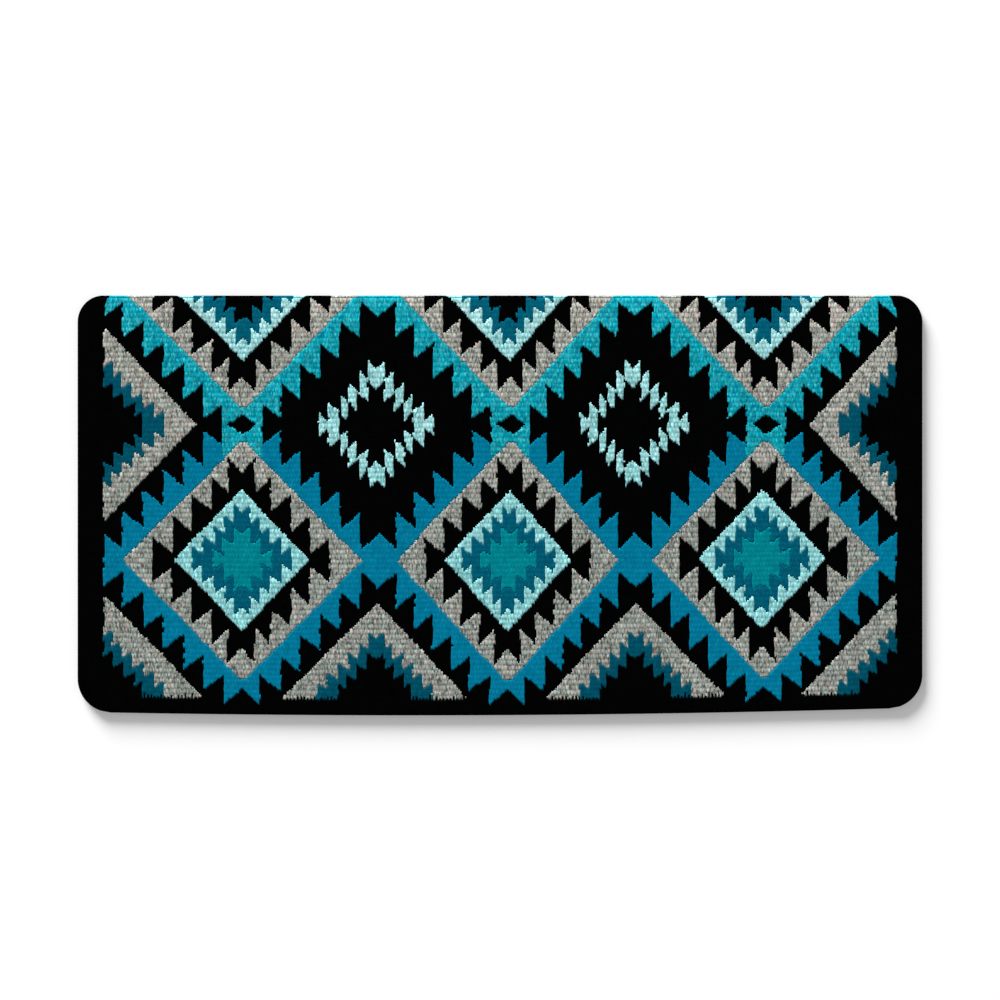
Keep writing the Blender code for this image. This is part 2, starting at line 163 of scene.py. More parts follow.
@dataclass(frozen=True)
class SawEdge:
    """One quadrant of a saw-toothed edge, in teeth from a motif's centre.

    Tooth k ends at tips[k] across and is reaches[k] long. Over its width its edge slopes by
    slant, and then it steps to the next tooth.
    """

    tips: tuple[float, ...]
    reaches: tuple[float, ...]
    slant: float

    def _tooth_at(self, across: np.ndarray) -> tuple[np.ndarray, np.ndarray, np.ndarray]:
        """The tooth at each place.

        Args:
            across: distances from the centre line, in teeth.

        Returns:
            How long the tooth is, the share of its width that lies nearer the centre line, and
            whether the place lies within the last tooth.
        """
        tips = np.array(self.tips)
        starts = np.concatenate(([0.0], tips[:-1]))
        tooth = np.searchsorted(tips, across)
        inside = tooth < len(tips)
        tooth = np.minimum(tooth, len(tips) - 1)
        share = (across - starts[tooth]) / (tips[tooth] - starts[tooth])
        return np.array(self.reaches)[tooth], share, inside

    def reach(self, across: np.ndarray) -> np.ndarray:
        """How far down the edge lies, where each tooth is longest at its outer side.

        Args:
            across: distances from the centre line, in teeth.

        Returns:
            The tooth's length less slant times what is left of its width, or -1 past the last.
        """
        length, share, inside = self._tooth_at(across)
        return np.where(inside, length - self.slant * (1 - share), -1.0)

    def rise(self, across: np.ndarray) -> np.ndarray:
        """How far down the edge lies, where each tooth is shortest at its inner side.

        Args:
            across: distances from the centre line, in teeth.

        Returns:
            The tooth's length plus slant times its share there, or -1 past the last tooth.
        """
        length, share, inside = self._tooth_at(across)
        return np.where(inside, length + self.slant * share, -1.0)


@dataclass
class Canvas:
    """Points to paint: how far across and down the pattern, in teeth, and their areas' numbers."""

    across: np.ndarray
    down: np.ndarray
    area: np.ndarray


@dataclass
class Pattern:
    """The traditional pattern of saw-edged diamonds, measured in teeth.

    Diamonds stand at odd lattice columns, on the fold row and the drop row. Dark cells with a
    ring of flames stand between them, and chevrons fill the ends and the hem.

    Attributes:
        cell: teeth between two lattice points.
        column_shares: where each lattice row's columns stand, in shares of the field.
        row_places: where the lattice rows stand, in metres of cloth.
        hem_line: where the hem's border begins.
        grey, mint, end_chevron, hem_chevron, corner_chevron, knot: half widths and half heights.
        grey_tip: how far down the grey diamonds go, where their tips are blunt.
        chevron_lot: how much darker the chevrons' petrol was dyed.
        neck_half_width, neck_end: the turquoise neck between two diamonds.
        band_edge and the edges after it: the saw edges, each measured from its motif's centre.
        nudges: how far hand weaving left a motif across and down from its lattice point.
        areas: the areas found so far, the black ground first.
    """

    cell: float = 7.0
    column_shares: tuple[tuple[float, ...], ...] = (
        (0.0, 0.18, 0.347, 0.51, 0.671, 0.832, 1.0),
        (0.0, 0.1755, 0.3405, 0.5155, 0.668, 0.836, 1.0),
        (0.0, 0.178, 0.3485, 0.5125, 0.671, 0.831, 1.0),
        (0.0, 0.175, 0.341, 0.5095, 0.671, 0.8325, 1.0),
    )
    row_places: tuple[float, ...] = (0.0, 0.1451, 0.2907, 0.4367)
    hem_line: float = 21.15
    grey: Pair = (6.07, 6.26)
    grey_tip: float = 6.04
    mint: Pair = (3.44, 3.64)
    end_chevron: Pair = (4.64, 5.06)
    hem_chevron: Pair = (4.84, 4.79)
    corner_chevron: Pair = (4.92, 5.15)
    chevron_lot: float = -1.2
    neck_half_width: float = 1.04
    neck_end: float = 8.6
    knot: Pair = (0.78, 0.52)
    band_edge: SawEdge = SawEdge(
        (0.94, 2.01, 2.99, 4.02, 5.04, 6.05, 7.04), (7.41, 6.69, 5.68, 4.62, 3.56, 2.46, 1.39), 0.8
    )
    grey_edge: SawEdge = SawEdge((0.7, 1.51, 2.54, 3.5, 4.51), (5.31, 4.31, 3.37, 2.26, 1.16), 0.81)
    mint_edge: SawEdge = SawEdge((0.38, 0.9, 1.42, 2.01, 2.52), (2.85, 2.29, 1.74, 1.2, 0.65), 0.4)
    centre_edge: SawEdge = SawEdge((0.46, 0.99, 1.53), (1.69, 1.12, 0.55), 0.33)
    chevron_edge: SawEdge = SawEdge(
        (0.43, 0.88, 1.43, 1.99, 2.53, 3.05), (3.3, 2.75, 2.2, 1.69, 1.22, 0.69), 0.28
    )
    chevron_dark: SawEdge = SawEdge((0.47, 0.99, 1.54, 1.92), (2.18, 1.64, 1.12, 0.67), 0.22)
    flame_edge: SawEdge = SawEdge(
        (0.44, 0.89, 1.45, 1.87, 2.5, 3.0), (3.34, 2.83, 2.2, 1.61, 1.15, 0.63), 0.48
    )
    flame_dark: SawEdge = SawEdge((0.46, 0.99, 1.47, 1.95), (1.87, 1.23, 0.75, 0.22), 0.48)
    nudges: dict[str, Pair] = field(
        default_factory=lambda: {
            "fold_diamond_front": (-0.09, 0.0),
            "fold_diamond_middle": (-0.02, 0.0),
            "fold_diamond_rear": (-0.03, 0.0),
            "drop_diamond_front": (-0.09, -0.02),
            "drop_diamond_middle": (-0.04, 0.0),
            "drop_diamond_rear": (-0.07, -0.03),
            "flame_ring_front": (0.05, 0.0),
            "flame_ring_rear": (-0.09, -0.05),
        }
    )
    areas: list[Area] = field(default_factory=lambda: [Area("ground", Wool.BLACK)])

    def area(self, name: str, wool: Wool, in_frame: bool = True, lot: float = 0.0) -> int:
        """The number of a named area, which it adds to the list when it is new.

        Args:
            name: the area's name, without its half.
            wool: its wool.
            in_frame: whether the frame has a node for it.
            lot: how much lighter its wool is.

        Returns:
            Its place in the list of areas.
        """
        found = Area(name, wool, name if in_frame else None, lot)
        if found not in self.areas:
            self.areas.append(found)
        return self.areas.index(found)

    def paint(self, across: np.ndarray, down: np.ndarray, comb: np.ndarray | float) -> np.ndarray:
        """Which area each point belongs to.

        A motif is every point whose distance down from its centre is less than its edge's
        reach at the point's distance across. Later motifs cover earlier ones.

        Args:
            across: teeth from the front border.
            down: teeth from the pattern's middle line.
            comb: how far the chevrons stop short of the hem's border there, in teeth.

        Returns:
            The areas' numbers, 0 on the black ground.
        """
        canvas = Canvas(across, down, np.zeros(across.shape, int))
        self._paint_bands(canvas)
        for row in (Row.FOLD, Row.DROP):
            for place, column in DIAMOND_COLUMNS.items():
                self._paint_diamond(canvas, column, row, f"{row.name.lower()}_diamond_{place}")
        for place, column in FLAME_COLUMNS.items():
            dx, dy = self.distances(canvas, column, Row.NECK, f"flame_ring_{place}")
            flame = (dy < self.flame_edge.reach(dx)) & (dy > self.flame_dark.rise(dx))
            canvas.area[flame] = self.area(f"mint_flame_ring_{place}", Wool.MINT)
        above_hem = down + comb < self.hem_line
        for name, columns, row, size in (
            ("end_chevron", END_COLUMNS, Row.NECK, self.end_chevron),
            ("hem_chevron", FLAME_COLUMNS, Row.HEM, self.hem_chevron),
            ("corner_chevron", END_COLUMNS, Row.HEM, self.corner_chevron),
        ):
            for place, column in columns.items():
                distances = self.distances(canvas, column, row)
                self._paint_chevron(canvas.area, distances, above_hem, size, f"{name}_{place}")
        canvas.area[(across < 0) | (across > END_COLUMNS["rear"] * self.cell)] = 0
        return canvas.area

    def distances(
        self, canvas: Canvas, column: int, row: int, motif: str = ""
    ) -> tuple[np.ndarray, np.ndarray]:
        """How far points lie across and down from a lattice point.

        Args:
            canvas: the points.
            column: the lattice point's column.
            row: its row.
            motif: a motif whose centre hand weaving left beside the lattice point.

        Returns:
            Distances across and down, in teeth, without their signs.
        """
        aside, below = self.nudges.get(motif, (0.0, 0.0))
        dx = np.abs(canvas.across - column * self.cell - aside)
        return dx, np.abs(canvas.down - row * self.cell - below)

    def _paint_bands(self, canvas: Canvas) -> None:
        """Paints the turquoise and blue zigzags, with the necks and knots between them.

        Args:
            canvas: the points to paint.
        """
        blue = self.area("blue_band", Wool.BLUE)
        turquoise = self.area("turquoise_band", Wool.TURQUOISE)
        for colour, row in ((blue, Row.DROP), (turquoise, Row.FOLD)):
            for column in DIAMOND_COLUMNS.values():
                dx, dy = self.distances(canvas, column, row)
                canvas.area[dy < self.band_edge.reach(dx)] = colour
        for column in DIAMOND_COLUMNS.values():
            dx, dy = self.distances(canvas, column, Row.NECK)
            canvas.area[(dx < self.neck_half_width) & (canvas.down < self.neck_end)] = turquoise
            canvas.area[dx / self.knot[0] + dy / self.knot[1] < 1] = 0

    def _paint_diamond(self, canvas: Canvas, column: int, row: Row, name: str) -> None:
        """Paints a diamond: grey, a black saw ring, mint, petrol, and a teal or black centre.

        Args:
            canvas: the points to paint.
            column: the diamond's lattice column.
            row: its lattice row.
            name: its name, without a colour.
        """
        area = canvas.area
        dx, dy = self.distances(canvas, column, row)
        grey = (dx / self.grey[0] + dy / self.grey[1] < 1) & (dy < self.grey_tip)
        area[grey] = self.area(f"grey_{name}", Wool.GREY)
        dx, dy = self.distances(canvas, column, row, name)
        area[dy < self.grey_edge.reach(dx)] = 0
        area[dx / self.mint[0] + dy / self.mint[1] < 1] = self.area(f"mint_{name}", Wool.MINT)
        in_drop_row = row is Row.DROP
        area[dy < self.mint_edge.reach(dx)] = self.area(f"petrol_{name}", Wool.PETROL, in_drop_row)
        centre = self.area(f"teal_{name.replace('diamond', 'centre')}", Wool.TEAL) if in_drop_row else 0
        area[dy < self.centre_edge.reach(dx)] = centre

    def _paint_chevron(
        self,
        area: np.ndarray,
        distances: tuple[np.ndarray, np.ndarray],
        above_hem: np.ndarray,
        size: Pair,
        name: str,
    ) -> None:
        """Paints a chevron: grey arms, a darker petrol saw band inside them, black inside that.

        Args:
            area: the areas' numbers, which it changes.
            distances: distances across and down from its lattice point, in teeth.
            above_hem: whether a point lies above the hem's border.
            size: its half width and half height.
            name: its name, without a colour.
        """
        dx, dy = distances
        area[(dx / size[0] + dy / size[1] < 1) & above_hem] = self.area(f"grey_{name}", Wool.GREY)
        band = (dy < self.chevron_edge.reach(dx)) & above_hem
        area[band] = self.area(f"petrol_{name}", Wool.PETROL, False, self.chevron_lot)
        area[(dy < self.chevron_dark.reach(dx)) & above_hem] = 0

    def teeth_down(self, along: np.ndarray) -> np.ndarray:
        """Cloth from the pattern's middle line as teeth, through the lattice rows' own places.

        Args:
            along: cloth from the pattern's middle line, in metres, on either side of it.

        Returns:
            Teeth.
        """
        distance = np.abs(along)
        past = np.maximum(distance - self.row_places[-1], 0.0)
        teeth = np.arange(len(self.row_places)) * self.cell
        return np.interp(distance, self.row_places, teeth) + past / TOOTH_DEPTH

    def teeth_across(self, x: np.ndarray, down: np.ndarray, half_length: float) -> np.ndarray:
        """X as teeth from the front border.

        In each lattice row the columns stand at their own places, with even teeth between
        them, and from one lattice row to the next the columns lean evenly.

        Args:
            x: places along the blanket, in metres.
            down: teeth from the pattern's middle line.
            half_length: half the blanket's length.

        Returns:
            Teeth, below 0 before the field and above its last column past it.
        """
        half_field = half_length - END_BORDER
        teeth = np.arange(len(self.column_shares[0])) * self.cell
        row = np.clip(down / self.cell, 0, len(self.column_shares) - 1)
        across = np.zeros(np.broadcast(x, down).shape)
        for number, shares in enumerate(self.column_shares):
            places = -half_field + np.array(shares) * 2 * half_field
            weight = np.clip(1 - np.abs(row - number), 0, 1)
            across = across + weight * np.interp(x, places, teeth)
        past = np.maximum(np.abs(x) - half_field, 0.0)
        return across + np.sign(x) * past / TOOTH_DEPTH


@dataclass
class Fold:
    """The folded blanket's sizes, read from the frame, and the roll of cloth at its fold.

    Attributes:
        half_length, half_drop: half its size along X and along Y.
        total: the folded thickness.
        thickness: one layer's thickness.
        fold_corner, hem_corner: the radii of the rounded corners.
        corner_taper: how far from each end the rows are drawn in to the corners.
        hem_crown, hem_lean, hem_raise: the hem's bow, its slope and how far it is lifted.
    """

    half_length: float
    half_drop: float
    total: float
    thickness: float
    fold_corner: float = 0.029
    hem_corner: float = 0.036
    corner_taper: float = 0.042
    hem_crown: float = 0.0059
    hem_lean: float = -0.0024
    hem_raise: float = 0.0024

    @classmethod
    def from_frame(cls) -> "Fold":
        """Reads the sizes from the frame's nodes.

        Returns:
            The fold, with its own corners and hem.
        """
        low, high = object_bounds()
        ground_low, ground_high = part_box("upper_ground_cloth")
        thickness = ground_high.z - ground_low.z
        return cls((high.x - low.x) / 2, (high.y - low.y) / 2, high.z - low.z, thickness)

    @property
    def radius(self) -> float:
        """The roll's outer radius: half the folded thickness."""
        return self.total / 2

    @property
    def centre_y(self) -> float:
        """Where the roll's centre line stands."""
        return self.half_drop - self.radius

    @property
    def gap(self) -> float:
        """The gap between the two layers."""
        return self.total - 2 * self.thickness

    @property
    def rib_arc(self) -> float:
        """The cloth on one rib, a third of the roll's half turn, measured along its face."""
        return self.radius * RIB_TURN

    @property
    def quarter(self) -> float:
        """The cloth from the spine line to where it lies flat."""
        return self.radius * math.pi / 2

    @property
    def reach(self) -> float:
        """The cloth from the spine line to the hem."""
        return self.quarter + self.centre_y + self.half_drop

    def outer(self, x: np.ndarray, along: np.ndarray, depth: np.ndarray, sign: int) -> np.ndarray:
        """Points on the outer face.

        The face runs round the roll from the spine line for a quarter turn, with its angle
        equal to along over the radius, and then flat to the hem.

        Args:
            x: places along the blanket.
            along: cloth from the spine line.
            depth: how far under the face.
            sign: 1 on the upper half and -1 on the lower.

        Returns:
            The points, with X, Y and Z in the last axis.
        """
        angle = np.maximum(math.pi / 2 - along / self.radius, 0.0)
        flat = np.maximum(along - self.quarter, 0.0)
        y = self.centre_y + (self.radius - depth) * np.sin(angle) - flat
        z = self.radius + sign * (self.radius - depth) * np.cos(angle)
        return np.stack([x, y, z], axis=-1)

    def half_length_at(self, y: np.ndarray) -> np.ndarray:
        """Half the blanket's length at Y, less where the corners are round.

        Args:
            y: places across the blanket.

        Returns:
            A corner takes away its radius, less the circle's half chord there.
        """
        length = self.half_length
        for towards, radius in ((y, self.fold_corner), (-y, self.hem_corner)):
            past = np.clip(towards - (self.half_drop - radius), 0.0, radius)
            length = length - (radius - np.sqrt(radius**2 - past**2))
        return length

    def taper(self, points: np.ndarray) -> np.ndarray:
        """Draws the ends of each row in to the rounded corners.

        Args:
            points: points of a grid whose rows run straight to both ends.

        Returns:
            The points, with the last stretch before each end drawn in evenly to the outline.
        """
        x = points[..., 0]
        limit = self.half_length_at(points[..., 1])
        start = self.half_length - self.corner_taper
        share = np.clip((np.abs(x) - start) / self.corner_taper, 0.0, 1.0)
        drawn = start + share * (limit - start)
        points = points.copy()
        points[..., 0] = np.where(share > 0, np.sign(x) * drawn, x)
        return points

    def bow(self, points: np.ndarray) -> np.ndarray:
        """Lets the hem bow, as hand-woven cloth does, and the cloth above it less and less.

        With u from -1 to 1 along the blanket, the hem sags by crown (1 - u squared) plus lean
        times u, less raise. Above it a point sags by the square of its share of the way down.

        Args:
            points: points of a grid whose hem is straight.

        Returns:
            The points, moved along Y.
        """
        u = points[..., 0] / self.half_length
        share = np.clip((self.centre_y - points[..., 1]) / (self.centre_y + self.half_drop), 0.0, 1.0)
        sag = self.hem_crown * (1 - u**2) + self.hem_lean * u - self.hem_raise
        points = points.copy()
        points[..., 1] -= sag * share**2
        return points


def rim_fullness(margin: np.ndarray) -> np.ndarray:
    """How full a rounded rim is: a quarter circle, from 0 at the edge to 1 a rim's radius inside.

    Args:
        margin: distances from the edge, in metres.

    Returns:
        The square root of 1 less the square of what is left of the radius, in radii.
    """
    inward = np.clip(margin / RIM_RADIUS, 0.0, 1.0)
    return np.sqrt(1 - (1 - inward) ** 2)


@dataclass
class FloatGrid:
    """The lines of a stretch of weave: pick lines across X, and warp rows cut into finer lines.

    A float stands over warp row j and pick line i where i + j + first_row is even, and covers
    a pick on either side of its line. A cell is one pick wide and a part of a row deep.

    Attributes:
        picks, rows: how many there are.
        first_row: 0 or 1, for which of the two kinds of row comes first.
        rng: where chance comes from.
        interlock, interlock_spread: how far floats reach into the next row, and its chance.
        pick_spread: how far a pick line sways, in picks.
        row_valley, side_valley: how high the cloth stays between rows and between floats.
        crest_spread: how much lower than the highest a float may be.
        strand_tone: how much of a cell's tone is its strand's own.
        turn_stray, turn_wave: the wave in which the weft's turns stray, in teeth and by pick.
        hem_comb: the least and most that a pick stops short of the hem's border, in teeth.
        float_pull: how far the place where a cell's colour is read moves to its float's middle.
    """

    picks: int
    rows: int
    first_row: int
    rng: np.random.Generator
    interlock: float = 0.09
    interlock_spread: float = 0.06
    pick_spread: float = 0.3
    row_valley: float = 0.35
    side_valley: float = 0.58
    crest_spread: float = 0.4
    strand_tone: float = 0.4
    turn_stray: float = 0.03
    turn_wave: float = 0.31
    hem_comb: Pair = (0.06, 0.225)
    float_pull: float = 0.2

    @property
    def cell_rows(self) -> int:
        """How many rows of cells there are."""
        return self.rows * SUB_ROWS

    def _refine(self, values: np.ndarray) -> np.ndarray:
        """Fills values in evenly, at half picks and at the finer lines between rows.

        Args:
            values: numbers at the lines between rows, by pick lines.

        Returns:
            Numbers at every vertex, lines by half picks.
        """
        wide = np.empty((self.rows + 1, 2 * self.picks + 1))
        wide[:, ::2] = values
        wide[:, 1::2] = (values[:, :-1] + values[:, 1:]) / 2
        share = (np.arange(SUB_ROWS) / SUB_ROWS)[None, :, None]
        inner = wide[:-1, None] * (1 - share) + wide[1:, None] * share
        return np.concatenate([inner.reshape(-1, wide.shape[1]), wide[-1:]])

    def row_lines(self) -> np.ndarray:
        """The row coordinate of every vertex, lines by half picks.

        Between two rows the line is a zigzag: plus the interlock at the pick lines of the
        upper row's floats, minus it at the lower row's, and straight at both ends of the
        stretch. Each float's tip also strays a little by itself.

        Returns:
            Row coordinates, from 0 to the number of rows.
        """
        pick = np.arange(self.picks + 1)
        row = np.arange(self.rows + 1)[:, None]
        zigzag = np.where((pick + row + self.first_row) % 2 == 1, 1.0, -1.0) * self.interlock
        zigzag = zigzag + self.interlock_spread * (2 * self.rng.random(zigzag.shape) - 1)
        zigzag[[0, -1]] = 0.0
        return self._refine(row + zigzag)

    def pick_lines(self) -> np.ndarray:
        """The pick coordinate of every vertex, lines by half picks.

        Each pick line sways a little by itself from row to row.

        Returns:
            Pick coordinates, from 0 to the number of picks.
        """
        sway = self.pick_spread * (2 * self.rng.random((self.rows + 1, self.picks + 1)) - 1)
        sway[:, [0, -1]] = 0.0
        return self._refine(sway) + np.arange(2 * self.picks + 1) / 2

    def heights(self) -> np.ndarray:
        """How high every vertex stands, as a share of the relief.

        Over its length a float is half an ellipse above the row valley, and over its width
        another above the side valley. Each float's crest has its own height.

        Returns:
            Heights, lines by half picks.
        """
        crests = 1 - self.crest_spread * self.rng.random((self.rows, self.picks + 1))
        usual_crest = 1 - self.crest_spread / 2
        half_pick = np.arange(2 * self.picks + 1)
        pick = half_pick // 2
        line = np.arange(self.cell_rows)[:, None]
        row = line // SUB_ROWS
        along = 2 * (line % SUB_ROWS) / SUB_ROWS - 1
        centred = (pick + row + self.first_row) % 2 == 0
        offset = np.where(half_pick % 2 == 1, 0.5, np.where(centred, 0.0, 1.0))
        owner = np.where(centred, pick, np.minimum(pick + 1, self.picks))
        over_width = self.side_valley + (1 - self.side_valley) * np.sqrt(1 - offset**2)
        over_length = self.row_valley + (1 - self.row_valley) * np.sqrt(1 - along**2)
        height = over_length * over_width * np.where(offset < 1, crests[row, owner], usual_crest)
        valley = self.row_valley * usual_crest
        height[::SUB_ROWS] = valley
        return np.concatenate([height, np.full((1, height.shape[1]), valley)])

    def tones(self) -> np.ndarray:
        """Each cell's tone from 0 to 1: partly its float's own, and partly its strand's.

        Returns:
            Tones, cell rows by picks. A float has a strand in each of its two picks.
        """
        floats = self.rng.random((self.rows, self.picks + 1)).repeat(SUB_ROWS, axis=0)
        strands = self.rng.random((self.rows, self.picks)).repeat(SUB_ROWS, axis=0)
        pick = np.arange(self.picks)
        row = np.arange(self.cell_rows)[:, None] // SUB_ROWS
        float_line = pick + (pick + row + self.first_row) % 2
        own = np.take_along_axis(floats, float_line, axis=1)
        return own * (1 - self.strand_tone) + strands * self.strand_tone

    def strays(self) -> np.ndarray:
        """How far the weft's turns stray: a wave along every row, each begun at a place of its own.

        Returns:
            Strays in teeth, cell rows by picks.
        """
        start = self.rng.random((self.rows, 1)).repeat(SUB_ROWS, axis=0) * 2 * math.pi
        return self.turn_stray * np.sin(np.arange(self.picks) * self.turn_wave + start)

    def comb(self) -> np.ndarray:
        """How far each pick stops short of a line along the warps, where every other one does.

        Returns:
            Distances in teeth, by pick.
        """
        least, most = self.hem_comb
        short = least + (most - least) * self.rng.random(self.picks)
        return np.where(np.arange(self.picks) % 2 == 1, short, 0.0)

    def middles(self) -> tuple[np.ndarray, np.ndarray]:
        """Where each cell's colour is read: at its middle, drawn a little towards its float's.

        Returns:
            Picks across and rows down, as numbers for every cell.
        """
        line = np.arange(self.cell_rows)[:, None]
        own = (line + 0.5) / SUB_ROWS
        down = own + self.float_pull * (line // SUB_ROWS + 0.5 - own)
        return np.broadcast_arrays(np.arange(self.picks) + 0.5, down)


@dataclass
class Faces:
    """Polygons of a woven shell that have the same number of corners.

    Attributes:
        corners: vertex numbers, polygons by corners.
        cells: each polygon's cell in the weave.
        on_inside: whether they lie on the inner face.
        shift: which way the map moves the inner corners of a wall. Faces of the cloth have none.
    """

    corners: np.ndarray
    cells: np.ndarray
    on_inside: bool = False
    shift: Pair = (0.0, 0.0)

    @property
    def are_walls(self) -> bool:
        """Whether they join the two faces of the cloth."""
        return any(self.shift)


@dataclass
class WovenPanel:
    """A stretch of cloth with an outer face, an inner face and the areas of its cells.

    The outer face has two quads in a cell and the inner face one. Vertices are numbered along
    the outer face's lines first, and then along the inner face's.

    Attributes:
        grid: the lines of its weave.
        outer, inner: the places of the two faces' vertices.
        outer_height, inner_height: how high they stand, as a share of the relief.
        area, tone: each cell's area and tone.
        flipped: whether the outer face looks down.
        areas: the pattern's areas.
        materials: the materials by wool.
        map_margin: the rim of the map that stays empty.
        map_wall: how wide a wall is on the map.
    """

    grid: FloatGrid
    outer: np.ndarray
    inner: np.ndarray
    outer_height: np.ndarray
    inner_height: np.ndarray
    area: np.ndarray
    tone: np.ndarray
    flipped: bool
    areas: list[Area]
    materials: Materials
    map_margin: float = 0.01
    map_wall: float = 0.0006

    @property
    def wide(self) -> int:
        """How many vertices a line of the outer face has."""
        return 2 * self.grid.picks + 1

    @property
    def narrow(self) -> int:
        """How many vertices a line of the inner face has."""
        return self.grid.picks + 1

    @property
    def split(self) -> int:
        """The number of the inner face's first vertex."""
        return self.outer.shape[0] * self.wide

    def shell(self, cells: np.ndarray) -> list[Faces]:
        """The closed shell round a set of cells.

        Where a cell of the set meets one outside it, a wall joins the two faces.

        Args:
            cells: whether each cell belongs, cell rows by picks.

        Returns:
            The shell's polygons, facing out on a panel that isn't flipped.
        """
        line, pick = np.nonzero(cells)
        cell = line * self.grid.picks + pick
        shell = []
        for half in range(2):
            at = line * self.wide + 2 * pick + half
            shell.append(Faces(np.stack([at, at + self.wide, at + self.wide + 1, at + 1], 1), cell))
        at = self.split + line * self.narrow + pick
        inner = np.stack([at, at + 1, at + self.narrow + 1, at + self.narrow], 1)
        shell.append(Faces(inner, cell, on_inside=True))
        padded = np.pad(cells, 1)
        for far, beside in enumerate((padded[1:-1, :-2], padded[1:-1, 2:])):
            shell.append(self._side_walls(cells & ~beside, far))
        for far, beside in enumerate((padded[:-2, 1:-1], padded[2:, 1:-1])):
            shell.append(self._row_walls(cells & ~beside, far))
        return [faces for faces in shell if len(faces.cells)]

    def _side_walls(self, at: np.ndarray, far: int) -> Faces:
        """Walls along pick lines.

        Args:
            at: whether each cell has one.
            far: 0 for the cells' near side and 1 for their far side.

        Returns:
            The walls.
        """
        line, pick = np.nonzero(at)
        top = line * self.wide + 2 * (pick + far)
        low = self.split + line * self.narrow + pick + far
        wall = np.stack([top, low, low + self.narrow, top + self.wide], 1)
        way = 2.0 * far - 1.0
        return Faces(wall[:, ::-1] if far else wall, line * self.grid.picks + pick, shift=(way, 0.0))

    def _row_walls(self, at: np.ndarray, far: int) -> Faces:
        """Walls along the rows.

        Args:
            at: whether each cell has one.
            far: 0 for the side towards the spine and 1 for the side towards the hem.

        Returns:
            The walls.
        """
        line, pick = np.nonzero(at)
        top = (line + far) * self.wide + 2 * pick
        low = self.split + (line + far) * self.narrow + pick
        wall = np.stack([top, top + 1, top + 2, low + 1, low], 1)
        way = 2.0 * far - 1.0
        return Faces(wall[:, ::-1] if far else wall, line * self.grid.picks + pick, shift=(0.0, way))

    def build(self, name: str, cells: np.ndarray) -> bpy.types.Object:
        """Makes the object of a set of cells.

        Args:
            name: the object's name.
            cells: whether each cell belongs.

        Returns:
            The object, at the origin, with its place in its mesh.
        """
        shell = self.shell(cells)
        corners = [faces.corners[:, ::-1] if self.flipped else faces.corners for faces in shell]
        sizes = np.concatenate([np.full(len(c), c.shape[1]) for c in corners])
        walls = np.concatenate([np.full(len(faces.cells), faces.are_walls) for faces in shell])
        cell = np.concatenate([faces.cells for faces in shell])
        used, flat = np.unique(np.concatenate([c.ravel() for c in corners]), return_inverse=True)
        places = np.concatenate([self.outer.reshape(-1, 3), self.inner.reshape(-1, 3)])
        mesh = bpy.data.meshes.new(name)
        mesh.vertices.add(len(used))
        mesh.vertices.foreach_set("co", places[used].astype(np.float32).ravel())
        mesh.loops.add(len(flat))
        mesh.loops.foreach_set("vertex_index", flat.astype(np.int32))
        mesh.polygons.add(len(sizes))
        mesh.polygons.foreach_set("loop_start", (np.cumsum(sizes) - sizes).astype(np.int32))
        mesh.polygons.foreach_set("use_smooth", ~walls)
        self._add_wools(mesh, cell)
        self._add_numbers(mesh, cell, used)
        self._add_map(mesh, shell, used, flat)
        mesh.update(calc_edges=True)
        mesh.validate()
        piece = bpy.data.objects.new(name, mesh)
        bpy.context.scene.collection.objects.link(piece)
        return piece

    def _add_wools(self, mesh: bpy.types.Mesh, cell: np.ndarray) -> None:
        """Gives every polygon its wool's material.

        Args:
            mesh: the mesh.
            cell: each polygon's cell.
        """
        own = self.area.ravel()[cell]
        shown = sorted({self.areas[number].wool.value for number in np.unique(own)})
        for slot in shown:
            mesh.materials.append(self.materials[Wool(slot)])
        if len(shown) > 1:
            wools = [area.wool.value for area in self.areas]
            slots = np.array([shown.index(wool) if wool in shown else 0 for wool in wools], np.int32)
            mesh.polygons.foreach_set("material_index", slots[own])

    def _add_numbers(self, mesh: bpy.types.Mesh, cell: np.ndarray, used: np.ndarray) -> None:
        """Stores each polygon's tone and each vertex's height, which the materials use for painted shade
        in the hollows.

        Args:
            mesh: the mesh.
            cell: each polygon's cell.
            used: the panel's number of each vertex.
        """
        lots = np.array([area.lot for area in self.areas])
        tones = self.tone.ravel()[cell] + lots[self.area.ravel()[cell]]
        heights = np.concatenate([self.outer_height.ravel(), self.inner_height.ravel()])[used]
        for name, domain, values in (("tone", "FACE", tones), ("height", "POINT", heights)):
            layer = mesh.attributes.new(name, "FLOAT", domain)
            layer.data.foreach_set("value", values.astype(np.float32))

    def _add_map(
        self, mesh: bpy.types.Mesh, shell: list[Faces], used: np.ndarray, flat: np.ndarray
    ) -> None:
        """Lays the outer face in the upper half of the map and the inner face in the lower half.

        A wall's corners take the outer face's place beside it, so that no wall crosses a face.

        Args:
            mesh: the mesh.
            shell: its polygons.
            used: the panel's number of each vertex.
            flat: the vertex at each polygon's corner, in order.
        """
        on_inner = used >= self.split
        rest = np.where(on_inner, used - self.split, used)
        line = np.where(on_inner, rest // self.narrow, rest // self.wide)
        across = np.where(on_inner, (rest % self.narrow) * 2, rest % self.wide)
        shift = np.concatenate([np.tile(faces.shift, (faces.corners.size, 1)) for faces in shell])
        moved = shift * (on_inner[flat] * self.map_wall)[:, None]
        upper = np.concatenate([np.full(faces.corners.size, not faces.on_inside) for faces in shell])
        u = self._spread(across.astype(float))[flat] + moved[:, 0]
        v = (self._spread(line.astype(float))[flat] + moved[:, 1] * 2 + upper) / 2
        layer = mesh.uv_layers.new(name="OFBake")
        layer.data.foreach_set("uv", np.stack([u, v], 1).astype(np.float32).ravel())

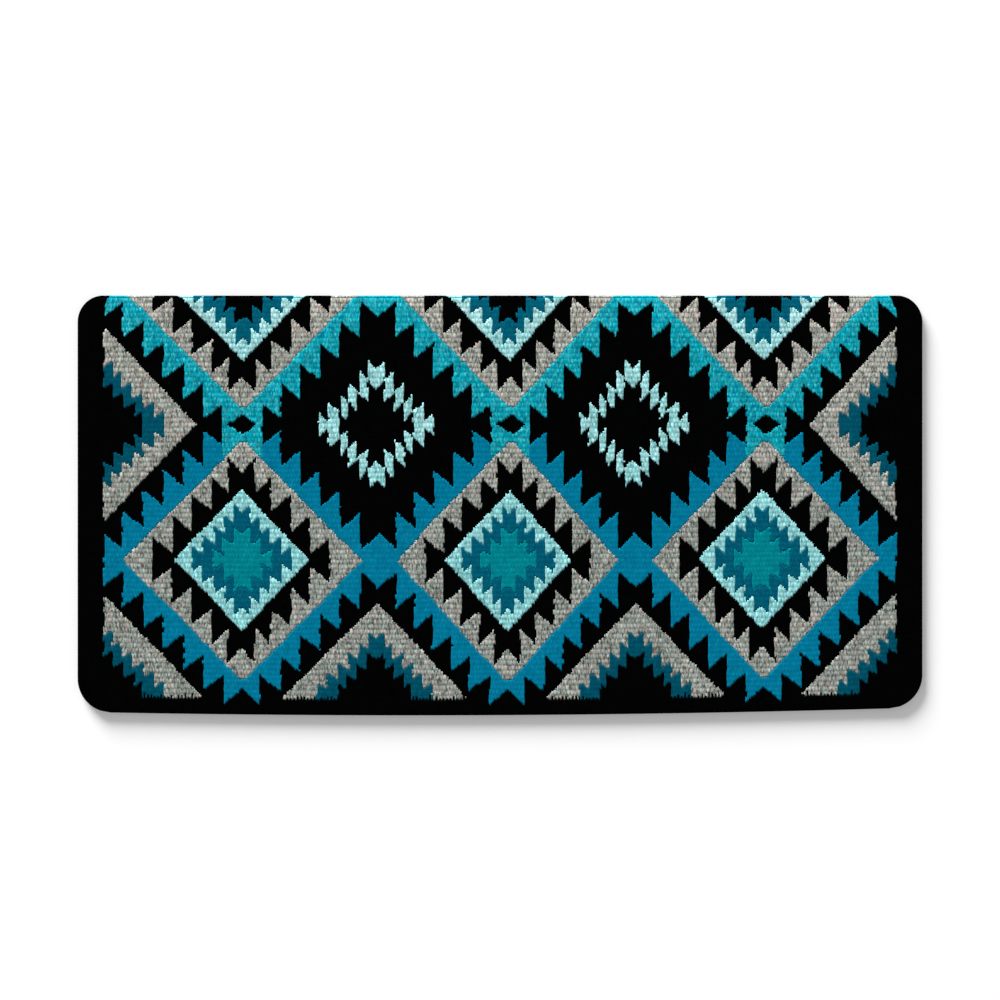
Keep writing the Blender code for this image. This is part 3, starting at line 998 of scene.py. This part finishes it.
    def _spread(self, values: np.ndarray) -> np.ndarray:
        """Values spread over the map from one margin to the other."""
        low, high = values.min(), values.max()
        return self.map_margin + (1 - 2 * self.map_margin) * (values - low) / max(high - low, 1)


@dataclass
class Signal:
    """A number on a node's socket, which takes part in sums and products."""

    graph: "Graph"
    socket: bpy.types.NodeSocket

    def __add__(self, other: "Signal | float") -> "Signal":
        """This plus other."""
        return self.graph.maths("ADD", self, other)

    def __sub__(self, other: "Signal | float") -> "Signal":
        """This less other."""
        return self.graph.maths("SUBTRACT", self, other)

    def __mul__(self, other: "Signal | float") -> "Signal":
        """This times other."""
        return self.graph.maths("MULTIPLY", self, other)

    def __rsub__(self, other: float) -> "Signal":
        """Other less this."""
        return self.graph.maths("SUBTRACT", other, self)

    __radd__ = __add__
    __rmul__ = __mul__

    def smooth(self, low: float, high: float) -> "Signal":
        """A smooth step.

        Args:
            low: the number up to which it is 0.
            high: the number from which it is 1.

        Returns:
            The step's signal.
        """
        settings = {"interpolation_type": "SMOOTHSTEP"}
        inputs = {0: self, 1: low, 2: high, 3: 0.0, 4: 1.0}
        node = self.graph.node("ShaderNodeMapRange", settings, inputs)
        return Signal(self.graph, node.outputs[0])


Tint = bpy.types.NodeSocket | tuple[float, float, float, float]


class Graph:
    """The node tree of one material or sky, built by calls."""

    def __init__(self, owner: bpy.types.Material | bpy.types.World) -> None:
        """Starts with an empty tree.

        Args:
            owner: the material or sky whose tree it is.
        """
        owner.use_nodes = True
        self.tree = owner.node_tree
        self.tree.nodes.clear()

    def node(
        self, kind: str, settings: dict | None = None, inputs: dict | None = None
    ) -> bpy.types.Node:
        """Adds a node.

        Args:
            kind: the node's type.
            settings: its properties, set first.
            inputs: values, signals or sockets by input name or number.

        Returns:
            The node.
        """
        node = self.tree.nodes.new(kind)
        for name, value in (settings or {}).items():
            setattr(node, name, value)
        for key, value in (inputs or {}).items():
            if isinstance(value, Signal):
                value = value.socket
            if isinstance(value, bpy.types.NodeSocket):
                self.tree.links.new(value, node.inputs[key])
            else:
                node.inputs[key].default_value = value
        return node

    def maths(self, operation: str, first: Signal | float, second: Signal | float) -> Signal:
        """A Math node on two numbers."""
        node = self.node("ShaderNodeMath", {"operation": operation}, {0: first, 1: second})
        return Signal(self, node.outputs[0])

    def attribute(self, name: str) -> Signal:
        """A number stored on the mesh."""
        node = self.node("ShaderNodeAttribute", {"attribute_name": name})
        return Signal(self, node.outputs["Fac"])

    def noise(self, place: bpy.types.NodeSocket, scale: float, detail: float = 2.0) -> Signal:
        """Noise from 0 to 1 over a place, with features of about one over the scale."""
        node = self.node("ShaderNodeTexNoise", None, {"Vector": place, "Scale": scale, "Detail": detail})
        return Signal(self, node.outputs["Fac"])

    def mix_colour(
        self, factor: Signal, first: Tint, second: Tint, blend: str = "MIX"
    ) -> bpy.types.NodeSocket:
        """A blend of two colours."""
        settings = {"data_type": "RGBA", "blend_type": blend}
        return self.node("ShaderNodeMix", settings, {"Factor": factor, 6: first, 7: second}).outputs[2]

    def scaled(self, colour: bpy.types.NodeSocket, factor: Signal) -> bpy.types.NodeSocket:
        """A colour made lighter or darker."""
        node = self.node("ShaderNodeVectorMath", {"operation": "SCALE"}, {0: colour, "Scale": factor})
        return node.outputs[0]


@dataclass(frozen=True)
class Yarn:
    """What the yarns of all the wools share.

    Attributes:
        stretch: how fine the fibres' noise is along each axis, coarser along the weft.
        fibre_scale, fine_scale, fleck_scale, mottle_scale: features to a metre of each noise.
        fibre_detail: how many finer levels the fibres' noise has.
        fibre_from_to: the noise between which a fibre shows, where none is mixed in.
        fibre_lowered: how much lower both ends lie where the fibre share is 1.
        fleck_from_to, fleck_strength: the noise between which a fleck shows, and how strongly.
        least_grain, fine_gain, mottle_gain: the least lightness, and what two noises add to it.
        bump, bump_depth, bump_mix: the fibres' bump, and its shares of fibre and fine noise.
        sheen_roughness: the shader's own value.
        wide_tint_from_to, wide_tint_share: where on Y the fold tint's first part comes in, and its
            share.
        near_fold_from_to: where on Y the rest of it comes in.
        ridge_from_to: where on Y that rest ends, on the fold itself.
    """

    stretch: tuple[float, float, float] = (1.0, 0.38, 1.0)
    fibre_scale: float = 640.0
    fine_scale: float = 1984.0
    fleck_scale: float = 448.0
    mottle_scale: float = 90.0
    fibre_detail: float = 3.0
    fibre_from_to: Pair = (0.62, 0.72)
    fibre_lowered: Pair = (0.4, 0.2)
    fleck_from_to: Pair = (0.52, 0.66)
    fleck_strength: float = 0.8
    least_grain: float = 0.71
    fine_gain: float = 0.24
    mottle_gain: float = 0.34
    bump: float = 0.35
    bump_depth: float = 0.00025
    bump_mix: Pair = (0.6, 0.4)
    sheen_roughness: float = 0.6
    wide_tint_from_to: Pair = (0.0, 0.06)
    wide_tint_share: float = 0.3
    near_fold_from_to: Pair = (0.17, 0.235)
    ridge_from_to: Pair = (0.2165, 0.223)


@dataclass(frozen=True)
class WoolFinish:
    """How one wool looks.

    Attributes:
        wool: which wool it is.
        colour, fibre, fleck: the colours of the wool and of the fibres and flecks mixed into it.
        fibre_share: how much fibre is mixed in.
        tone_spread: how much lighter or darker a float may be.
        valley: how light the painted shade leaves the deepest places between floats.
        sheen, specular, roughness: the shader's own values.
        fold_tint: how much lighter the wool is beside the fold, by channel.
        yarn: what all the wools share.
    """

    wool: Wool
    colour: Colour
    fibre: Colour
    fleck: Colour
    fibre_share: float
    tone_spread: float
    valley: float
    sheen: float = 0.0
    specular: float = 0.012
    roughness: float = 0.9
    fold_tint: Colour = NO_TINT
    yarn: Yarn = Yarn()

    def build(self) -> bpy.types.Material:
        """Makes the material.

        The colour is the wool's, mixed with the fibre colour where a fine noise drawn out
        along the yarn is high. Each float has its own tone, and painted shade darkens the valleys.

        Returns:
            The material, named for its slot.
        """
        yarn = self.yarn
        material = bpy.data.materials.new(self.wool.value)
        graph = Graph(material)
        place = graph.node("ShaderNodeTexCoord").outputs["Object"]
        mapping = graph.node("ShaderNodeMapping", None, {"Vector": place, "Scale": yarn.stretch})
        strand = mapping.outputs[0]
        fibres = graph.noise(strand, yarn.fibre_scale, yarn.fibre_detail)
        fine = graph.noise(strand, yarn.fine_scale)
        flecks = graph.noise(strand, yarn.fleck_scale).smooth(*yarn.fleck_from_to)
        low, high = np.array(yarn.fibre_from_to) - self.fibre_share * np.array(yarn.fibre_lowered)
        colour = graph.mix_colour(fibres.smooth(low, high), (*self.colour, 1.0), (*self.fibre, 1.0))
        colour = graph.mix_colour(flecks * yarn.fleck_strength, colour, (*self.fleck, 1.0))
        if self.fold_tint != NO_TINT:
            colour = self._tinted(graph, place, colour)
        mottle = graph.noise(place, yarn.mottle_scale)
        grain = yarn.least_grain + fine * yarn.fine_gain + mottle * yarn.mottle_gain
        light = (1 - self.tone_spread) + graph.attribute("tone") * (2 * self.tone_spread)
        # Painted shade: the colour is darkened towards the hollows between floats, by the height
        # attribute.
        painted_hollow_shade = self.valley + graph.attribute("height") * (1 - self.valley)
        inputs = {
            "Base Color": graph.scaled(colour, light * grain * painted_hollow_shade),
            "Roughness": self.roughness,
            "Specular IOR Level": self.specular,
            "Sheen Weight": self.sheen,
            "Sheen Roughness": yarn.sheen_roughness,
            "Normal": self._bump(graph, fibres, fine),
        }
        shader = graph.node("ShaderNodeBsdfPrincipled", None, inputs)
        graph.node("ShaderNodeOutputMaterial", None, {"Surface": shader.outputs[0]})
        return material

    def _tinted(
        self, graph: Graph, place: bpy.types.NodeSocket, colour: bpy.types.NodeSocket
    ) -> bpy.types.NodeSocket:
        """The colour with the fold tint.

        The wool is lighter over the first motifs from the fold, and lighter still beside the
        fold, but not on it.

        Args:
            graph: the material's graph.
            place: places on the object.
            colour: the colour so far.

        Returns:
            The colour times the tint, as far as the tint reaches.
        """
        yarn = self.yarn
        y = Signal(graph, graph.node("ShaderNodeSeparateXYZ", None, {"Vector": place}).outputs["Y"])
        # Lighter towards the fold: most just beside it, less over the first motifs, none on the fold
        # itself.
        close_to_fold = (y.smooth(*yarn.near_fold_from_to) - y.smooth(*yarn.ridge_from_to)) * (1 - yarn.wide_tint_share)
        share = close_to_fold + y.smooth(*yarn.wide_tint_from_to) * yarn.wide_tint_share
        return graph.mix_colour(share, colour, (*self.fold_tint, 1.0), "MULTIPLY")

    def _bump(self, graph: Graph, fibres: Signal, fine: Signal) -> bpy.types.NodeSocket:
        """The normal, turned by the fibres.

        Args:
            graph: the material's graph.
            fibres: the fibres' noise.
            fine: the finer noise.

        Returns:
            The bump's normal.
        """
        fibre_part, fine_part = self.yarn.bump_mix
        height = fibres * fibre_part + fine * fine_part
        inputs = {"Strength": self.yarn.bump, "Distance": self.yarn.bump_depth, "Height": height}
        return graph.node("ShaderNodeBump", None, inputs).outputs[0]


FINISHES = (
    WoolFinish(
        Wool.BLACK, (0.0004, 0.0005, 0.0007), (0.001, 0.0012, 0.0016), (0.0008, 0.0008, 0.0008),
        fibre_share=0.2, tone_spread=0.3, valley=0.6, sheen=0.003, specular=0.004,
    ),
    WoolFinish(
        Wool.GREY, (0.485, 0.557, 0.503), (0.155, 0.167, 0.148), (0.635, 0.512, 0.462),
        fibre_share=0.44, tone_spread=0.32, valley=0.18, fold_tint=(1.58, 1.42, 1.4),
    ),
    WoolFinish(
        Wool.TURQUOISE, (0.002, 0.4, 0.5), (0.05, 0.58, 0.65), (0.0005, 0.23, 0.39),
        fibre_share=0.34, tone_spread=0.3, valley=0.33, fold_tint=(2.0, 1.3, 1.28),
    ),
    WoolFinish(
        Wool.BLUE, (0.0005, 0.195, 0.335), (0.002, 0.24, 0.39), (0.0005, 0.175, 0.33),
        fibre_share=0.3, tone_spread=0.08, valley=0.72,
    ),
    WoolFinish(
        Wool.MINT, (0.4, 0.915, 0.94), (0.156, 0.54, 0.54), (0.52, 0.935, 0.96),
        fibre_share=0.4, tone_spread=0.26, valley=0.3, fold_tint=(1.68, 1.22, 1.2),
    ),
    WoolFinish(
        Wool.PETROL, (0.0005, 0.107, 0.173), (0.001, 0.13, 0.205), (0.0005, 0.088, 0.162),
        fibre_share=0.3, tone_spread=0.1, valley=0.7, fold_tint=(1.5, 1.2, 1.16),
    ),
    WoolFinish(
        Wool.TEAL, (0.0005, 0.236, 0.283), (0.001, 0.283, 0.336), (0.0005, 0.21, 0.273),
        fibre_share=0.3, tone_spread=0.1, valley=0.7,
    ),
)


@dataclass(frozen=True)
class Wander:
    """A slow wave with a finer one over it, by which hand weaving lets picks or warps wander.

    It is size times the sine of slow p plus bend times the sine of turn q, plus a share of the
    sine of fine p plus cross q.
    """

    size: float
    slow: float
    bend: float
    turn: float
    fine: float
    cross: float
    fine_share: float = 0.6

    def at(self, p: np.ndarray, q: np.ndarray) -> np.ndarray:
        """How far the cloth moves at places p and q, in metres."""
        slow = np.sin(p * self.slow + np.sin(q * self.turn) * self.bend)
        return self.size * (slow + self.fine_share * np.sin(p * self.fine + q * self.cross))


@dataclass
class WovenPart:
    """A part of the blanket that is woven from end to end."""

    fold: Fold
    pattern: Pattern
    materials: Materials

    def grid(self, rows: int, first_row: int, seed: int) -> FloatGrid:
        """The lines of its weave."""
        picks = round(2 * self.fold.half_length / PICK_PITCH)
        return FloatGrid(picks, rows, first_row, np.random.default_rng(seed))

    def paint(
        self,
        grid: FloatGrid,
        half_length: float,
        along: np.ndarray,
        strays: np.ndarray | float = 0.0,
        comb: np.ndarray | float = 0.0,
    ) -> np.ndarray:
        """Which area each cell belongs to.

        Args:
            grid: the lines of the weave.
            half_length: half the part's length.
            along: cloth from the pattern's middle line, at each cell.
            strays: how far the weft's turns stray, in teeth.
            comb: how far each pick stops short of the hem's border, in teeth.

        Returns:
            The areas' numbers, cell rows by picks.
        """
        x = (grid.middles()[0] / grid.picks * 2 - 1) * half_length
        down = self.pattern.teeth_down(along)
        across = self.pattern.teeth_across(x, down, self.fold.half_length) + strays
        return self.pattern.paint(across, down, comb)

    def panel_of(
        self,
        grid: FloatGrid,
        outer: np.ndarray,
        inner: np.ndarray,
        heights: tuple[np.ndarray, np.ndarray],
        area: np.ndarray,
        flipped: bool,
    ) -> WovenPanel:
        """A panel of the part's cloth.

        Args:
            grid: the lines of the weave.
            outer: the places of the outer face's vertices.
            inner: those of the inner face, as fine as the outer one.
            heights: the heights of both.
            area: each cell's area.
            flipped: whether the outer face looks down.

        Returns:
            The panel, whose inner face keeps every other vertex.
        """
        inner, inner_height = inner[:, ::2], heights[1][:, ::2]
        tone = grid.tones()
        found = (self.pattern.areas, self.materials)
        return WovenPanel(grid, outer, inner, heights[0], inner_height, area, tone, flipped, *found)


@dataclass
class BlanketHalf(WovenPart):
    """One half of the folded blanket: a woven panel, with a closed shell for every coloured area.

    Attributes:
        side: which half it is.
        rim_flat: how thick the cloth is at its very edge, as a share.
        pick_wander, warp_wander: how the picks and the warps wander.
        still_rows, fade_rows: rows at the fold that don't wander, and rows over which it begins.
        ground_parts: the stretches in which the black ground is made.
    """

    side: Side
    rim_flat: float = 0.25
    pick_wander: Wander = Wander(size=0.00022, slow=47, bend=2.1, turn=31, fine=131, cross=53)
    warp_wander: Wander = Wander(size=0.0005, slow=23, bend=1.7, turn=37, fine=71, cross=29)
    still_rows: float = 1.0
    fade_rows: float = 4.0
    ground_parts: tuple[str, ...] = ("front", "middle", "rear")

    def panel(self) -> WovenPanel:
        """Weaves the half.

        Rows start at the furrow a third of the roll from the spine line and run to the hem.
        The inner face has the same rows, but its first is short, inside the bend. Both faces
        close in on the middle between them towards every edge.

        Returns:
            The panel with both faces in place.
        """
        fold, sign = self.fold, self.side.sign
        start = fold.rib_arc + FURROW_GAP / 2
        rows = round((fold.reach - start) / WARP_PITCH)
        pitch = (fold.reach - start) / rows
        grid = self.grid(rows, 1, RANDOM_SEED + sign)
        height = grid.heights()
        lines = grid.row_lines()
        x = (grid.pick_lines() / grid.picks * 2 - 1) * fold.half_length
        x, along = self._wander(x, start + lines * pitch, start)
        fullness = rim_fullness(np.minimum(fold.half_length - np.abs(x), fold.reach - along))
        rim = (self.rim_flat + (1 - self.rim_flat) * fullness)[..., None]
        depth = RELIEF * (1 - height)
        outer = fold.outer(x, along, depth, sign)
        short = fold.centre_y - lines * (start + pitch - fold.quarter)
        inner_y = np.where(lines < 1, short, fold.centre_y - (along - fold.quarter))
        inner = np.stack([x, inner_y, fold.radius + sign * (fold.gap / 2 + depth)], axis=-1)
        middle = (outer + inner) / 2
        outer = fold.bow(fold.taper(middle + (outer - middle) * rim))
        inner = fold.bow(fold.taper(middle + (inner - middle) * rim))
        cloth = start + grid.middles()[1] * pitch + sign * PATTERN_SHIFT
        area = self.paint(grid, fold.half_length, cloth, grid.strays(), grid.comb())
        return self.panel_of(grid, outer, inner, (height, height), area, self.side is Side.LOWER)

    def _wander(self, x: np.ndarray, along: np.ndarray, start: float) -> tuple[np.ndarray, np.ndarray]:
        """Lets the picks and warps wander a little, in waves that fade out at every edge.

        Args:
            x: places along the blanket.
            along: cloth from the spine line.
            start: where the half's first row begins.

        Returns:
            The new places and the new cloth.
        """
        fold = self.fold
        fade = np.clip((fold.half_length - np.abs(x)) / END_BORDER, 0.0, 1.0)
        past_still = (along - start) / WARP_PITCH - self.still_rows
        fade = fade * np.clip(past_still, 0.0, self.fade_rows) / self.fade_rows
        fade = fade * np.clip((fold.reach - along) / END_BORDER, 0.0, 1.0)
        return x + self.pick_wander.at(along, x) * fade, along + self.warp_wander.at(x, along) * fade

    def build(self) -> None:
        """Makes the half's pieces, the coloured areas and the ground, and puts them on their body."""
        panel = self.panel()
        pieces = []
        for number, area in enumerate(self.pattern.areas[1:], start=1):
            cells = panel.area == number
            if not cells.any():
                continue
            piece = panel.build(f"{self.side.value}_{area.name}_weft", cells)
            if area.node:
                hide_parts(f"{self.side.value}_{area.node}")
            pieces.append(piece)
        stretch = np.arange(panel.grid.picks) * len(self.ground_parts) // panel.grid.picks
        grounds = [
            self._build_ground(panel, part, stretch == number)
            for number, part in enumerate(self.ground_parts)
        ]
        for piece in grounds + pieces:
            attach(piece, f"{self.side.value}_half")
            LOG.info("%s: %d faces", piece.name, len(piece.data.polygons))
        for number, (part, ground) in enumerate(zip(self.ground_parts, grounds)):
            share = float((panel.area[:, stretch == number] == 0).mean())
            self._declare(ground, part, share, pieces)

    def _build_ground(self, panel: WovenPanel, part: str, picks: np.ndarray) -> bpy.types.Object:
        """Makes one stretch of the black ground.

        Args:
            panel: the half's panel.
            part: the stretch's name.
            picks: whether each pick belongs to it.

        Returns:
            The stretch.
        """
        ground = panel.build(f"{self.side.value}_black_ground_weft_{part}", (panel.area == 0) & picks)
        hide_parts(f"{self.side.value}_ground_cloth")
        return ground

    def _declare(
        self, ground: bpy.types.Object, part: str, share: float, pieces: list[bpy.types.Object]
    ) -> None:
        """Picks out the coloured areas woven into a stretch of the ground, but makes no use of them.

        Args:
            ground: the stretch; not used.
            part: its name.
            share: how much of the cloth there is black; not used.
            pieces: the half's coloured areas.
        """
        length = self.fold.reach
        woven = [p for p in pieces if part in p.name or (part == "middle" and "band" in p.name)]


@dataclass
class SpineRib(WovenPart):
    """The cloth on one third of the roll: a woven wedge round one warp.

    Attributes:
        side: which half it lies beside.
        heart_radius: how near the roll's centre line it comes.
    """

    side: Side
    heart_radius: float = 0.0016

    def build(self) -> None:
        """Makes the rib and puts it on its body.

        Its outer face is one row of floats round a sixth of a circle, which drops by a third
        of the cloth's thickness at both ends. Its inner face is the heart of the roll.
        """
        fold, sign = self.fold, self.side.sign
        grid = self.grid(1, 0 if self.side is Side.UPPER else 1, RIB_SEED + sign)
        height = grid.heights()
        half_picks = np.linspace(-fold.half_length, fold.half_length, 2 * grid.picks + 1)
        x = np.broadcast_to(half_picks, height.shape)
        along = FURROW_GAP / 2 + grid.row_lines() * (fold.rib_arc - FURROW_GAP)
        drop = (1 - rim_fullness(fold.half_length - np.abs(x))) * fold.thickness / 3
        outer = fold.taper(fold.outer(x, along, RELIEF * (1 - height) + drop, sign))
        inner = fold.outer(x, along, np.full(x.shape, fold.radius - self.heart_radius), sign)
        inner[..., 0] = outer[..., 0]
        cloth = fold.rib_arc * grid.middles()[1] + sign * PATTERN_SHIFT
        area = self.paint(grid, fold.half_length, cloth, grid.strays())
        heights = (height, np.zeros(height.shape))
        panel = self.panel_of(grid, outer, inner, heights, area, self.side is Side.LOWER)
        rib = panel.build(f"{self.side.value}_spine_rib_weft", np.ones(area.shape, bool))
        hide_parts(f"{self.side.value}_spine_rib")
        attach(rib, f"{self.side.value}_rib")
        LOG.info("%s: %d faces", rib.name, len(rib.data.polygons))


@dataclass
class FurrowSkin(WovenPart):
    """The floats on the inner face between two ribs.

    The skin lies in the furrow's gap.

    Attributes:
        name: the skin's name.
        angle_deg: how far round the roll its furrow lies, from the top.
        bodies: the bodies on its two sides; not used.
        width, thickness: its size at rest.
    """

    name: str
    angle_deg: float
    bodies: tuple[str, str]
    width: float = 0.00026
    thickness: float = 0.0012

    def build(self) -> None:
        """Makes the skin.

        Every point lies on a line from the furrow towards the roll's centre: the radius less
        the float's depth away from it, and its share of the skin's width to one side.
        """
        fold = self.fold
        turn = math.radians(self.angle_deg)
        outward = np.array([0.0, math.sin(turn), math.cos(turn)])
        round_roll = np.array([0.0, math.cos(turn), -math.sin(turn)])
        furrow = np.array([0.0, fold.centre_y, fold.radius]) + outward * fold.radius
        grid = self.grid(1, 0, RANDOM_SEED + round(self.angle_deg))
        height = grid.heights()
        share = grid.row_lines()
        reach = fold.radius - fold.gap / 2 - RELIEF * (1 - height)
        limit = float(fold.half_length_at(np.array(fold.centre_y))) - RIM_RADIUS
        face = furrow - outward * reach[..., None] + round_roll * ((share - 0.5) * self.width)[..., None]
        back = face + outward * self.thickness
        face[..., 0] = back[..., 0] = np.linspace(-limit, limit, 2 * grid.picks + 1)
        side = fold.radius * (turn - math.pi / 2)
        cloth = np.full(grid.middles()[1].shape, PATTERN_SHIFT - side)
        area = self.paint(grid, limit, cloth)
        panel = self.panel_of(grid, face, back, (height, np.zeros(height.shape)), area, False)
        skin = panel.build(self.name, np.ones(area.shape, bool))
        start = furrow - outward * fold.radius - round_roll * self.width / 2
        end = start + round_roll * self.width
        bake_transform(skin)
        LOG.info("%s: %d faces", skin.name, len(skin.data.polygons))


@dataclass
class Studio:
    """A plain pale floor, soft light from the upper left, and the camera straight above.

    Attributes:
        floor_half, floor_drop: half the floor's size, and how far it lies under the blanket.
        floor_colour, floor_lift: the floor's grey, and the light it adds for the camera.
        sky: the sky's level.
        sun_level, sun_spread_deg, sun_travel: the lamp's level, its width and where it shines.
        lens, sensor: the camera's focal length and the width of its sensor, in millimetres.
        frame_width: the width of the picture, in metres.
        look_at_y: where on Y the camera stands.
    """

    floor_half: float = 4.0
    floor_drop: float = 0.0002
    floor_colour: float = 0.82
    floor_lift: float = 0.215
    sky: float = 0.3
    sun_level: float = 0.7
    sun_spread_deg: float = 33.0
    sun_travel: tuple[float, float, float] = (1.1, -2.1, -1.0)
    lens: float = 250.0
    sensor: float = 36.0
    frame_width: float = 1.0817
    look_at_y: float = 0.0038

    def build(self, top: float) -> None:
        """Sets up the floor, the light and the camera.

        Args:
            top: the height at which the picture's width is measured.
        """
        bpy.context.scene.view_settings.view_transform = "Standard"
        self._build_floor()
        self._build_sky()
        self._build_lamp()
        self._build_camera(top)

    def _build_floor(self) -> None:
        """Makes a wide pale plane just under the blanket. The camera sees it as white, shadow apart."""
        half, z = self.floor_half, -self.floor_drop
        mesh = bpy.data.meshes.new("stage_floor")
        places = [(-half, -half, z), (half, -half, z), (half, half, z), (-half, half, z)]
        mesh.from_pydata(places, [], [(0, 1, 2, 3)])
        material = bpy.data.materials.new("pale_floor")
        graph = Graph(material)
        seen = Signal(graph, graph.node("ShaderNodeLightPath").outputs["Is Camera Ray"])
        colour = (self.floor_colour,) * 3 + (1.0,)
        matt = graph.node("ShaderNodeBsdfDiffuse", None, {"Color": colour})
        lift = graph.node("ShaderNodeEmission", None, {"Strength": seen * self.floor_lift})
        both = graph.node("ShaderNodeAddShader", None, {0: matt.outputs[0], 1: lift.outputs[0]})
        graph.node("ShaderNodeOutputMaterial", None, {"Surface": both.outputs[0]})
        mesh.materials.append(material)
        floor = bpy.data.objects.new("stage_floor", mesh)
        bpy.context.scene.collection.objects.link(floor)
        floor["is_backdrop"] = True

    def _build_sky(self) -> None:
        """Makes an even sky that lights the object, and shows as white to the camera."""
        world = bpy.data.worlds.new("sky")
        bpy.context.scene.world = world
        graph = Graph(world)
        path = graph.node("ShaderNodeLightPath").outputs
        seen, glossy = (Signal(graph, path[ray]) for ray in ("Is Camera Ray", "Is Glossy Ray"))
        strength = self.sky + graph.maths("MAXIMUM", seen, glossy) * (1 - self.sky)
        white = (1.0, 1.0, 1.0, 1.0)
        sky = graph.node("ShaderNodeBackground", None, {"Color": white, "Strength": strength})
        graph.node("ShaderNodeOutputWorld", None, {"Surface": sky.outputs[0]})

    def _build_lamp(self) -> None:
        """Makes the sun, at a level that doesn't depend on how low it stands."""
        lamp = bpy.data.lights.new("window_light", "SUN")
        along_x, along_y, along_z = self.sun_travel
        tilt = math.atan2(math.hypot(along_x, along_y), -along_z)
        lamp.energy = self.sun_level * math.pi / math.cos(tilt)
        lamp.angle = math.radians(self.sun_spread_deg)
        sun = bpy.data.objects.new("window_light", lamp)
        sun.rotation_euler = (0.0, -tilt, math.atan2(along_y, along_x))
        bpy.context.scene.collection.objects.link(sun)

    def _build_camera(self, top: float) -> None:
        """Makes the camera, as high as its lens needs for the picture's width.

        Args:
            top: the height at which that width is measured.
        """
        camera = bpy.data.cameras.new("camera")
        camera.type = "PERSP"
        camera.lens = self.lens
        camera.sensor_width = self.sensor
        distance = self.lens * self.frame_width / self.sensor
        camera.clip_end = 4 * distance
        eye = bpy.data.objects.new("camera", camera)
        eye.location = (0.0, self.look_at_y, top + distance)
        bpy.context.scene.collection.objects.link(eye)
        bpy.context.scene.camera = eye


def main() -> None:
    """Builds the stage, the two halves, the ribs of the fold and the skins between them."""
    logging.basicConfig(level=logging.INFO, format="%(message)s")
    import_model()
    fold = Fold.from_frame()
    pattern = Pattern()
    materials = {finish.wool: finish.build() for finish in FINISHES}
    Studio().build(fold.total)
    for side in (Side.LOWER, Side.UPPER):
        BlanketHalf(fold, pattern, materials, side).build()
        SpineRib(fold, pattern, materials, side).build()
    for name, angle, bodies in (
        ("upper_furrow_weft", 30.0, ("upper_half", "upper_rib")),
        ("middle_furrow_weft", 90.0, ("upper_rib", "lower_rib")),
        ("lower_furrow_weft", 150.0, ("lower_rib", "lower_half")),
    ):
        FurrowSkin(fold, pattern, materials, name, angle, bodies).build()


if __name__ == "__main__":
    main()
